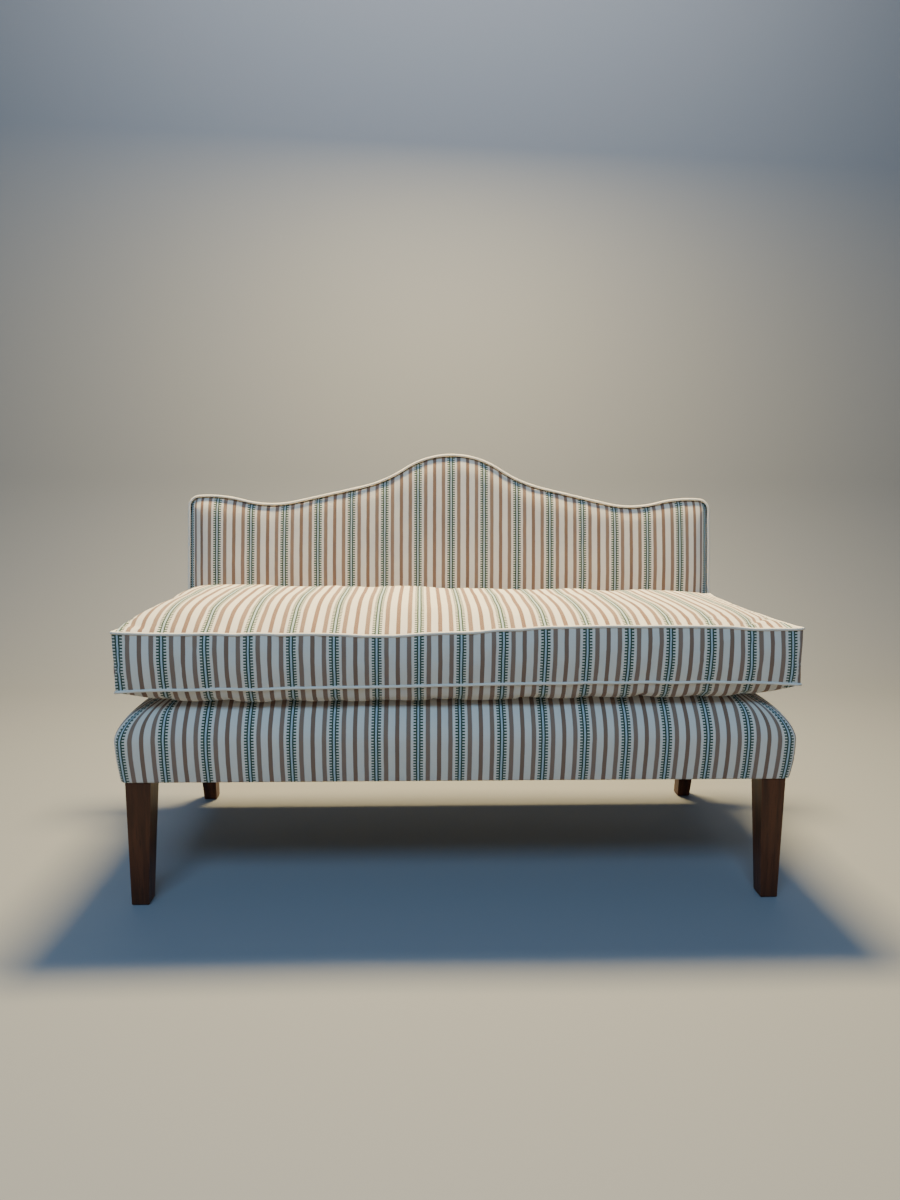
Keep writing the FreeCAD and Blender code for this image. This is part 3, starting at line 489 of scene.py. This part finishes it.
FABRIC = striped_fabric()
SLOT_MATERIALS = {
    "leg_wood": wood("leg_wood", tone(0.034, 0.0105, 0.0045), tone(0.112, 0.033, 0.011), 0.44, 0.06),
    "frame_wood": wood("frame_wood", tone(0.45, 0.30, 0.18), tone(0.66, 0.49, 0.32), 0.70, 0.0),
    "screw_steel": metal("screw_steel", (0.60, 0.60, 0.58)),
    "webbing": cloth("webbing", tone(0.05, 0.05, 0.05), tone(0.14, 0.13, 0.12), 0.0030, 0.0006),
    "hessian": cloth("hessian", tone(0.26, 0.18, 0.09), tone(0.52, 0.40, 0.25), 0.0026, 0.0006),
    "padding": cloth("padding", tone(0.74, 0.70, 0.62), tone(0.88, 0.85, 0.78), 0.0060, 0.0008),
    "striped_fabric": FABRIC,
    "lining": cloth("lining", tone(0.70, 0.66, 0.58), tone(0.84, 0.81, 0.74), 0.0010, 0.0002),
    "black_cloth": cloth("black_cloth", tone(0.01, 0.01, 0.01), tone(0.032, 0.032, 0.034), 0.0014, 0.0002),
    "feather_pad": cloth("feather_pad", tone(0.80, 0.78, 0.73), tone(0.90, 0.88, 0.84), 0.0008, 0.0002),
    "zip_tape": cloth("zip_tape", tone(0.58, 0.54, 0.46), tone(0.76, 0.72, 0.64), 0.0012, 0.0003),
    "zip_metal": metal("zip_metal", (0.55, 0.55, 0.54)),
}
for subpart in frame["record"]["subparts"]:
    for material_slot in frame["nodes"][subpart["node"]].material_slots:
        material_slot.material = SLOT_MATERIALS[subpart["material_slot"]]


def dress(piece, *nodes):
    piece.data.materials.append(FABRIC)
    if nodes:
        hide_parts(*nodes)


# Seat base: fabric drawn over a padded edge, pleated at the front corners
def base_profile():
    """Heights, with the front's and the sides' insets, from the turned-under lip to the flat top."""
    lip_inset = np.array([BASE_TUCK - BASE_FRONT_HEM, *LIP_INSETS])
    lip_height = BASE_BOTTOM + np.array(LIP_RISES)
    rise = np.linspace(0, 1, WALL_ROWS)
    wall_height = BASE_BOTTOM + WALL_START + (BASE_WIDEST - BASE_BOTTOM - WALL_START) * rise
    turn = np.linspace(0, math.pi / 2, ROLL_ROWS)[1:]
    roll = 1 - np.cos(turn) ** (2 / BASE_ROUNDNESS)
    roll_height = BASE_WIDEST + (BASE_TOP - BASE_WIDEST) * np.sin(turn) ** (2 / BASE_ROUNDNESS)
    flat = np.linspace(0, 1, FLAT_ROWS)[1:]
    heights = np.concatenate([lip_height, wall_height, roll_height, np.full(flat.size, BASE_TOP)])

    def insets(hem, reach):
        wall = hem * (1 - rise) ** 2
        return np.concatenate([hem + lip_inset, wall, reach * roll, reach + BASE_FLAT * flat])

    return heights, insets(BASE_FRONT_HEM, BASE_FRONT_ROLL), insets(BASE_SIDE_HEM, BASE_SIDE_ROLL)


def base_top(x, y):
    """Height of the seat base's rolled upper surface under a point of the plan."""
    front = np.clip(1 - (y - BASE_FRONT) / BASE_FRONT_ROLL, 0, 1)
    side = np.clip(1 - (BASE_HALF - np.abs(x)) / BASE_SIDE_ROLL, 0, 1)
    drop = 1 - np.maximum(front, side) ** BASE_ROUNDNESS
    return BASE_WIDEST + (BASE_TOP - BASE_WIDEST) * drop ** (1 / BASE_ROUNDNESS)


def base_stripe(across):
    """Where the fabric lies across the seat base, its stripes set to meet the cushion's."""
    return (across - BASE_SHIFT) * BASE_SPREAD


def make_base():
    height, front_inset, side_inset = (part[:, None] for part in base_profile())
    corner = BASE_CORNER + BASE_CORNER_GROWTH * np.where(height > BASE_WIDEST, side_inset, 0)
    middle = BASE_HALF - side_inset - corner
    front = BASE_FRONT + front_inset
    rear = BASE_REAR + BASE_REAR_SLOPE * (height - BASE_REAR_LEVEL)
    front_share = np.linspace(-1, 1, FRONT_COLUMNS)[None, :]
    turn = np.linspace(0, math.pi / 2, CORNER_COLUMNS)[None, 1:]
    side_share = np.linspace(0, 1, SIDE_COLUMNS)[None, 1:]
    # Right half of the corner and side, mirrored for the left
    corner_x = middle + corner * np.sin(turn)
    corner_y = front + corner - corner * np.cos(turn)
    side_wall = BASE_HALF - side_inset
    side_end = np.minimum(side_wall, BACK_HALF - CLOTH_THICKNESS)
    side_x = side_wall + (side_end - side_wall) * smooth(0.75, 1.0, side_share)
    side_start = front + corner
    side_y = side_start + (rear - side_start) * side_share
    right_x = np.concatenate([corner_x, side_x], axis=1)
    right_y = np.concatenate([corner_y, side_y], axis=1)
    # Distance round the base from the middle of the front, with the fold at half of each corner
    fold = middle + corner * math.pi / 4
    right_around = np.concatenate(
        [middle + corner * turn, middle + corner * math.pi / 2 + side_y - side_start], axis=1,
    )
    front_y = np.broadcast_to(front, (height.size, front_share.size))
    x = np.concatenate([-right_x[:, ::-1], middle * front_share, right_x], axis=1)
    y = np.concatenate([right_y[:, ::-1], front_y, right_y], axis=1)
    around = np.concatenate([-right_around[:, ::-1], middle * front_share, right_around], axis=1)
    z = np.broadcast_to(height, x.shape)
    # Slight unevenness of the stuffing, and small pulls along the tacked bottom edge
    face = smooth(BASE_BOTTOM + 0.01, BASE_BOTTOM + 0.04, z)
    uneven = BASE_SWELL * waves(around, z, 0.17, 3) * face
    hem = np.exp(-(z - BASE_BOTTOM) / 0.03) * smooth(BASE_BOTTOM, BASE_BOTTOM + 0.006, z)
    pulls = BASE_PULL * waves(around, 0 * z, 0.045, 5) * hem
    swell = (uneven + pulls) * smooth(0.15, 0.08, y)
    on_side = np.abs(around) > fold
    grid = stack(x + np.where(on_side, np.sign(x) * swell, 0), y - np.where(on_side, 0, swell), z)
    # The cloth is eased in towards the fold, and what is left over goes into the pleat
    flat_fold = BASE_HALF - BASE_CORNER * (1 - math.pi / 4)
    side_fold = flat_fold + side_start - BASE_FRONT - BASE_CORNER + (BASE_CORNER - corner) * math.pi / 4
    near = np.clip(1 - np.abs(np.abs(around) - fold) / BASE_EASE, 0, 1) ** 2
    front_cloth = np.abs(around) + near * np.minimum(flat_fold - fold, BASE_PLEAT)
    side_cloth = np.abs(around) - fold + side_fold - near * np.minimum(side_fold - flat_fold, BASE_PLEAT)
    steps = np.hypot(np.diff(front_inset[:, 0]), np.diff(height[:, 0]))
    travel = np.concatenate([[0], np.cumsum(steps)])
    left = side_share.size + turn.size // 2
    right = x.shape[1] - 1 - left
    patches = []
    for first, last, places in (
        (0, left, side_cloth), (left, right, front_cloth), (right, x.shape[1], side_cloth),
    ):
        part = slice(first, last + 1)
        fabric = stack(base_stripe(np.sign(around) * places), travel[:, None])
        patches.append((grid[:, part], fabric[:, part]))
    # The deck under the cushion, from the rolled edge back to the crease
    rim = grid[-1, side_share.size:-side_share.size]
    share = np.linspace(0, 1, side_share.size + 1)[:, None]
    deck_x = np.broadcast_to(rim[:, 0], (share.size, len(rim)))
    deck_y = rim[:, 1] + (rear[-1] - rim[:, 1]) * share
    from_side = rim[-1, 0] - np.abs(deck_x)
    inner = smooth(0, DECK_FADE, deck_y - rim[:, 1]) * smooth(0, DECK_FADE, from_side)
    dip = DECK_DIP * inner * (1 + waves(deck_x, deck_y, 0.2, 31))
    deck = stack(deck_x, deck_y, BASE_TOP - np.maximum(dip, 0))
    deck[:, 0] = grid[-1, side_share.size::-1]
    deck[:, -1] = grid[-1, -side_share.size - 1:]
    patches.append((deck, stack(base_stripe(deck_x), travel[-1] + deck_y - rim[:, 1])))
    piece = make_piece("seat_base_fabric", patches, "frame", thickness=CLOTH_THICKNESS)
    dress(piece, "seat_cover", "seat_padding")


# Back: the serpentine outline, sampled with its outward normals
def arc(centre, radius, start, end, outward):
    count = max(3, int(abs(end - start) * radius / OUTLINE_STEP))
    angle = np.linspace(start, end, count)
    ray = np.stack([np.cos(angle), np.sin(angle)], axis=-1)
    return np.asarray(centre) + radius * ray, ray * (1 if outward else -1)


def half_outline():
    along = np.array([math.cos(SLOPE), -math.sin(SLOPE)])
    above = np.array([math.sin(SLOPE), math.cos(SLOPE)])
    crown = np.array([0.0, CROWN_HEIGHT - CROWN_RADIUS])
    trough = np.array([TROUGH[0], TROUGH[1] + TROUGH_RADIUS])
    slope_end = trough - TROUGH_RADIUS * above
    reach = slope_end + SHOULDER_RADIUS * above - crown
    run = reach @ along
    length = run - math.sqrt(run * run - reach @ reach + (CROWN_RADIUS + SHOULDER_RADIUS) ** 2)
    shoulder = crown + reach - length * along
    rise = math.sqrt((TROUGH_RADIUS + HUMP_RADIUS) ** 2 - (HUMP_OFFSET - TROUGH[0]) ** 2)
    hump = np.array([HUMP_OFFSET, trough[1] - rise])
    corner_x = BACK_HALF - CORNER_RADIUS
    corner_up = hump[1] + math.sqrt((HUMP_RADIUS - CORNER_RADIUS) ** 2 - (corner_x - HUMP_OFFSET) ** 2)
    corner = np.array([corner_x, corner_up])

    def heading(start, end):
        return math.atan2(end[1] - start[1], end[0] - start[0])

    down_slope = math.atan2(-above[1], -above[0])
    parts = [
        arc(crown, CROWN_RADIUS, math.pi / 2, heading(crown, shoulder), True),
        arc(shoulder, SHOULDER_RADIUS, heading(shoulder, crown), down_slope, False),
        arc(trough, TROUGH_RADIUS, down_slope, heading(trough, hump), False),
        arc(hump, HUMP_RADIUS, heading(hump, trough), heading(hump, corner), True),
        arc(corner, CORNER_RADIUS, heading(hump, corner), 0, True),
    ]
    slope_start = shoulder - SHOULDER_RADIUS * above
    share = np.linspace(0, 1, int(length / OUTLINE_STEP))[1:-1, None]
    straight = (slope_start + (slope_end - slope_start) * share, np.broadcast_to(above, (share.size, 2)))
    parts.insert(2, straight)
    points = np.concatenate([part[0][1:] if number else part[0] for number, part in enumerate(parts)])
    normals = np.concatenate([part[1][1:] if number else part[1] for number, part in enumerate(parts)])
    return points, normals


def whole_outline():
    points, normals = half_outline()
    flip = np.array([-1.0, 1.0])
    return (
        np.concatenate([points[:0:-1] * flip, points]),
        np.concatenate([normals[:0:-1] * flip, normals]),
    )


def side_run(low, corner_up):
    """Heights up a straight side of the back, from low to the corner."""
    return np.linspace(low, corner_up, int((corner_up - low) / OUTLINE_STEP))[:-1]


def round_outline(low):
    """The outline with both straight sides, from the left foot over the top to the right foot."""
    points, normals = whole_outline()
    heights = side_run(low, points[0][1])
    left = np.stack([np.full(heights.size, -BACK_HALF), heights], axis=-1)
    right = np.stack([np.full(heights.size, BACK_HALF), heights[::-1]], axis=-1)
    side = np.broadcast_to([1.0, 0.0], left.shape)
    return np.concatenate([left, points, right]), np.concatenate([-side, normals, side])


def in_back(across, up, forward):
    """World points from the back's own raked frame."""
    y = BACK_ORIGIN[1] + up * math.sin(RAKE) - forward * math.cos(RAKE)
    z = BACK_ORIGIN[2] + up * math.cos(RAKE) + forward * math.sin(RAKE)
    return stack(across, y, z)


def back_panel(low, inset, rows):
    """Columns of points under the outline, as across and up, with the outline's normals."""
    points, normals = whole_outline()
    tops = points - inset * normals
    share = 1 - (1 - np.linspace(0, 1, rows)) ** 1.6
    up = low + (tops[None, :, 1] - low) * share[:, None]
    across = np.broadcast_to(tops[None, :, 0], up.shape)
    from_top = (tops[None, :, 1] - up) * np.abs(normals[None, :, 1])
    return across, up, from_top


def back_stripe(across):
    """Where the fabric lies across the inside back, its stripes set so that one runs up the middle."""
    return (across - BACK_SHIFT) * BACK_SPREAD


def make_inside_back():
    across, up, from_top = back_panel(FACE_LOW, FACE_INSET, FACE_ROWS)
    from_side = BACK_HALF - FACE_INSET - np.abs(across)
    fullness = FACE_FULLNESS * smooth(0.22, 0.34, up)
    top_slope = TOP_SLOPE * np.exp(-from_top / TOP_SLOPE_REACH)
    top_roll = TOP_ROLL * np.exp(-from_top / TOP_ROLL_REACH) + top_slope
    roll = np.maximum(top_roll, SIDE_ROLL * np.exp(-from_side / SIDE_ROLL_REACH))
    uneven = FACE_UNEVEN * waves(across, up, 0.15, 11) * smooth(0.2, 0.3, up)
    pulls = FACE_PULL * waves(across, 0 * up, 0.04, 13) * np.exp(-from_top / 0.03)
    forward = BACK_FACE + fullness - roll * smooth(0.19, 0.30, up) + uneven + pulls
    wrap = np.sign(across) * FACE_WRAP * np.exp(-from_side / FACE_WRAP_REACH)
    face = (in_back(across, up, forward), stack(back_stripe(across + wrap), up))
    # The edge tucked in behind the piping
    points, normals = whole_outline()
    tuck = points - PIPE_INSET * normals
    left_up, right_up = up[:, 0], up[::-1, -1]
    left_x = np.full(left_up.size, PIPE_INSET - BACK_HALF)
    right_x = np.full(right_up.size, BACK_HALF - PIPE_INSET)
    edge_x = np.concatenate([left_x, tuck[:, 0], right_x])
    edge_up = np.concatenate([left_up, tuck[:, 1], right_up])
    rim, rim_cloth = (np.concatenate([grid[:, 0], grid[-1], grid[::-1, -1]]) for grid in face)
    edge = in_back(edge_x, edge_up, FACE_TUCK)
    tucked = (np.stack([edge, rim]), np.stack([rim_cloth, rim_cloth]))
    piece = make_piece("back_face_fabric", [face, tucked], "frame", thickness=CLOTH_THICKNESS)
    dress(piece, "inside_back_cover", "back_padding")


def make_back_border():
    points, normals = round_outline(0.0)
    share = np.linspace(0, 1, BACK_BORDER_ROWS)[:, None]
    height = BACK_ORIGIN[2] + points[None, :, 1]
    front_edge = np.where(height < BORDER_STEP, BORDER_FRONT_LOW, BORDER_FRONT)
    forward = front_edge * (1 - share)
    inset = BORDER_INSET + BORDER_CROWN * np.abs(2 * share - 1) ** 3
    across = points[None, :, 0] - inset * normals[None, :, 0]
    up = points[None, :, 1] - inset * normals[None, :, 1]
    steps = np.linalg.norm(np.diff(points, axis=0), axis=1)
    length = np.concatenate([[0], np.cumsum(steps)])
    length = length - length[-1] / 2
    strip = (in_back(across, up, forward), stack(forward - front_edge / 2, length[None, :]))
    piece = make_piece("back_border_fabric", [strip], "frame", thickness=CLOTH_THICKNESS)
    dress(piece, "back_border")


def make_outside_back():
    across, up, from_top = back_panel(OUTSIDE_LOW, OUTSIDE_INSET, OUTSIDE_ROWS)
    bow = OUTSIDE_BOW * waves(across, up, 0.25, 17) * smooth(0, 0.03, from_top)
    forward = OUTSIDE_EDGE - OUTSIDE_SINK * smooth(0, 0.02, from_top) + bow
    panel = in_back(across, up, forward)[:, ::-1]
    fabric = stack(-across, up)[:, ::-1]
    piece = make_piece("outside_back_fabric", [(panel, fabric)], "frame", thickness=CLOTH_THICKNESS)
    dress(piece, "outside_back_cover")


def make_back_piping():
    points, normals = round_outline(PIPE_LOW)
    path = points - PIPE_INSET * normals
    lift = PIPE_WANDER * waves(path[:, 0], path[:, 1], 0.06, 19)
    line = in_back(path[:, 0], path[:, 1], BACK_FACE - PIPE_RADIUS - PIPE_SINK + lift)
    piece = make_tube("back_piping_fabric", line, PIPE_RADIUS, "frame")
    dress(piece, "back_piping")


# Cushion: two panels and a border between two piped seams
def seam(x_share, y_share, level):
    """A point of the cushion's plan and its seam height, from shares of -1 to 1. Level 0 is low, 1 high."""
    front = CUSHION_FRONT + LOWER_SETBACK * (1 - level)
    middle = (front + CUSHION_REAR) / 2
    depth = (CUSHION_REAR - front) / 2
    x = CUSHION_HALF * x_share - SIDE_PULL * np.sign(x_share) * np.abs(x_share) ** 3 * (1 - y_share ** 2)
    x = x + RIGHT_OVERHANG * (1 - level) * smooth(0.6, 1.0, x_share)
    pull = FRONT_PULL * (1 - np.abs(x_share) ** 10) * np.clip(-y_share, 0, 1) ** 2
    y = middle + depth * y_share + pull
    # The front seams run unevenly, fuller towards the right
    dip = UPPER_DIP * np.exp(-((x - UPPER_DIP_PLACE) / UPPER_DIP_REACH) ** 2)
    upper = UPPER_RISE * smooth(*UPPER_RISE_RUN, x) - dip
    upper = upper - UPPER_START - UPPER_END * smooth(*UPPER_END_RUN, x)
    lower = LOWER_RISE * smooth(*LOWER_RISE_RUN, x) - LOWER_START
    drift = smooth(0.4, -1.0, y_share) * (upper * level + lower * (1 - level))
    ear = CORNER_EAR * np.abs(x_share) ** 14 * np.abs(y_share) ** 6 * (2 * level - 1)
    base = CUSHION_LOW + (CUSHION_HIGH - CUSHION_LOW) * level
    return x, y, base + drift + ear + SEAM_WANDER * waves(x, y, 0.09, 23 + int(level))


def stripe_place(across):
    """Where the fabric lies across the cushion, its stripes set so that one runs at each end."""
    return (across - CUSHION_SHIFT) * CUSHION_SPREAD


def settle(piece, held):
    """Fills the cover by cloth simulation, its seams and the held points pinned, and applies the result."""
    scene = bpy.context.scene
    group = piece.vertex_groups.new(name="held")
    group.add([int(number) for number in np.flatnonzero(held)], 1.0, "REPLACE")
    cover = piece.modifiers.new("filling", "CLOTH")
    cover.settings.quality = CUSHION_QUALITY
    cover.settings.mass = CUSHION_CLOTH_MASS
    cover.settings.bending_stiffness = CUSHION_STIFFNESS
    cover.settings.shrink_min = -CUSHION_SLACK
    cover.settings.use_pressure = True
    cover.settings.uniform_pressure_force = CUSHION_PRESSURE
    cover.settings.vertex_group_mass = group.name
    cover.settings.effector_weights.gravity = 0
    cover.collision_settings.use_collision = False
    cover.point_cache.frame_start = 1
    cover.point_cache.frame_end = FILLING_FRAMES
    for step in range(1, FILLING_FRAMES + 1):
        scene.frame_set(step)
    start = vertex_places(piece.data)
    filled = piece.evaluated_get(bpy.context.evaluated_depsgraph_get())
    move = vertex_places(filled.data) - start
    piece.modifiers.remove(cover)
    piece.vertex_groups.remove(group)
    scene.frame_set(1)
    reach = np.linalg.norm(move, axis=1, keepdims=True)
    move = move * CUSHION_GIVE * np.tanh(reach / CUSHION_GIVE) / np.maximum(reach, 1e-9)
    place = start + move
    place[:, 2] = np.maximum(place[:, 2], base_top(place[:, 0], place[:, 1]) + CUSHION_GAP)
    piece.data.vertices.foreach_set("co", place.ravel())
    piece.data.update()


def vertex_places(mesh):
    place = np.empty(len(mesh.vertices) * 3)
    mesh.vertices.foreach_get("co", place)
    return place.reshape(-1, 3)


def seam_loop(grid):
    return np.concatenate([grid[0, :-1], grid[:-1, -1], grid[-1, :0:-1], grid[:0:-1, 0]])


def run_length(grid):
    """Length of cloth from the first row of a grid to each of its points."""
    steps = np.linalg.norm(np.diff(grid, axis=0), axis=2)
    return np.concatenate([np.zeros((1, grid.shape[1])), np.cumsum(steps, axis=0)])


def make_cushion():
    columns = np.linspace(-1, 1, CUSHION_COLUMNS)
    rows = np.linspace(-1, 1, CUSHION_ROWS)
    x_share, y_share = np.meshgrid(columns, rows)
    # Top panel, plumper towards the left
    across_fall = np.where(x_share < 0, fall(x_share, 16, 0.4), fall(x_share, 4, 0.65))
    plump = across_fall * np.where(y_share < 0, fall(y_share, 3, 0.6), fall(y_share, 6, 0.5))
    x, y, z = seam(x_share, y_share, 1.0)
    crown = CUSHION_TOP - CUSHION_SAG * smooth(-0.15, 0.1, x)
    top = stack(x, y, z + (crown - z) * plump + TOP_UNEVEN * plump * waves(x, y, 0.14, 29))
    # Bottom panel, hanging down to rest on the seat base
    under = fall(x_share, 7, 0.5) * fall(y_share, 12, 0.5)
    low_x, low_y, low_z = seam(x_share, y_share, 0.0)
    hang = CUSHION_HANG * (0.85 + 0.15 * smooth(-0.5, 0.1, low_x))
    low_z = np.maximum(low_z - hang * under, base_top(low_x, low_y) + CUSHION_GAP)
    bottom = stack(low_x, low_y, low_z)
    patches = [
        (top, stack(stripe_place(x), run_length(top))),
        (bottom, stack(stripe_place(low_x), run_length(bottom))),
    ]
    # Border strips between the seams, each bulging outwards
    rise = np.linspace(0, 1, BORDER_ROWS)[:, None]
    bulge = np.sin(math.pi * rise) ** 0.8
    right_across = CUSHION_HALF + bottom[:, -1, 1] - CUSHION_FRONT
    left_across = -CUSHION_HALF - bottom[:, 0, 1] + CUSHION_FRONT
    edges = [
        (bottom[0], top[0], (0.0, -1.0), FRONT_BULGE, columns, bottom[0, :, 0]),
        (bottom[:, -1], top[:, -1], (1.0, 0.0), RIGHT_BULGE, rows, right_across),
        (bottom[:, 0], top[:, 0], (-1.0, 0.0), LEFT_BULGE, rows, left_across),
        (bottom[-1], top[-1], (0.0, 1.0), 0.0, columns, -bottom[-1, :, 0]),
    ]
    for below, above, out, amount, share, across in edges:
        push = amount * bulge * (1 - np.abs(share[None, :]) ** 12)
        strip = below + (above - below) * rise[..., None] + push[..., None] * np.array([*out, 0.0])
        up = rise * (CUSHION_HIGH - CUSHION_LOW)
        patches.append((strip, stack(stripe_place(across[None, :]), up)))
    piece = make_piece("cushion_cover", patches, "cushion", closed=True)
    loops = np.concatenate([seam_loop(top), seam_loop(bottom)])
    seams = kdtree.KDTree(len(loops))
    for number, point in enumerate(loops):
        seams.insert(point, number)
    seams.balance()
    place = vertex_places(piece.data)
    sewn = np.array([seams.find(point)[2] < 1e-4 for point in place])
    resting = place[:, 2] < base_top(place[:, 0], place[:, 1]) + CUSHION_GAP + 1e-5
    settle(piece, sewn | resting | (place[:, 1] > CUSHION_REAR - 0.003))
    dress(
        piece,
        "cushion_pad", "cushion_top_panel", "cushion_bottom_panel", "cushion_border", "cushion_rear_border",
    )
    for name, grid in (("top", top), ("bottom", bottom)):
        loop = seam_loop(grid)
        piping = make_tube(f"cushion_{name}_piping_fabric", loop, CUSHION_PIPE, "cushion", closed=True)
        dress(piping, f"cushion_{name}_piping")


make_base()
make_inside_back()
make_back_border()
make_outside_back()
make_back_piping()
make_cushion()


# Staging: pale floor with a swept backdrop, soft warm light from above, cool fill from the front
def make_floor():
    turn = np.linspace(0, math.pi / 2, 24)
    sweep_end = SWEEP_START + SWEEP_RADIUS
    depth = np.concatenate([[FLOOR_FRONT], SWEEP_START + SWEEP_RADIUS * np.sin(turn), [sweep_end]])
    rise = np.concatenate([[0.0], SWEEP_RADIUS * (1 - np.cos(turn)), [BACKDROP_HEIGHT]])
    points = [(x, y, z) for y, z in zip(depth, rise) for x in (-FLOOR_HALF, FLOOR_HALF)]
    faces = [(2 * row, 2 * row + 1, 2 * row + 3, 2 * row + 2) for row in range(depth.size - 1)]
    mesh = bpy.data.meshes.new("floor")
    mesh.from_pydata(points, [], faces)
    mesh.shade_smooth()
    floor = bpy.data.objects.new("floor", mesh)
    bpy.context.scene.collection.objects.link(floor)
    material = bpy.data.materials.new("floor")
    material.use_nodes = True
    surface = material.node_tree.nodes["Principled BSDF"]
    surface.inputs["Base Color"].default_value = FLOOR_TONE
    surface.inputs["Roughness"].default_value = 0.8
    mesh.materials.append(material)


def make_light(name, place, aim, size, power, colour):
    light = bpy.data.lights.new(name, "AREA")
    light.shape = "RECTANGLE"
    light.size, light.size_y = size
    light.energy = power
    light.color = colour
    lamp = bpy.data.objects.new(name, light)
    lamp.location = place
    lamp.rotation_euler = (Vector(aim) - Vector(place)).to_track_quat("-Z", "Y").to_euler()
    bpy.context.scene.collection.objects.link(lamp)


def make_camera():
    camera = bpy.data.objects.new("camera", bpy.data.cameras.new("camera"))
    camera.location = CAMERA_PLACE
    level = Euler((CAMERA_TILT, 0, CAMERA_TURN)).to_matrix()
    camera.rotation_euler = (level @ Matrix.Rotation(CAMERA_ROLL, 3, "Z")).to_euler()
    camera.data.lens = CAMERA_LENS
    camera.data.sensor_width = CAMERA_SENSOR
    bpy.context.scene.collection.objects.link(camera)
    bpy.context.scene.camera = camera


def make_world():
    world = bpy.data.worlds.new("studio")
    world.use_nodes = True
    background = world.node_tree.nodes["Background"]
    background.inputs["Color"].default_value = SKY_TONE
    background.inputs["Strength"].default_value = SKY_STRENGTH
    bpy.context.scene.world = world


make_floor()
make_light(
    "overhead", place=(0.05, 0.52, 2.6), aim=(0.0, 0.0, 0.5), size=(0.7, 0.35),
    power=240, colour=(1.0, 0.77, 0.37),
)
make_light(
    "front_fill", place=(-0.5, -2.3, 2.8), aim=(0.0, 0.0, 0.4), size=(1.8, 0.8),
    power=70, colour=(0.34, 0.62, 1.0),
)
make_light(
    "backdrop", place=(0.0, 0.6, 3.6), aim=(0.0, 2.0, 2.7), size=(3.0, 0.5),
    power=60, colour=(0.95, 0.97, 1.0),
)
make_world()
make_camera()
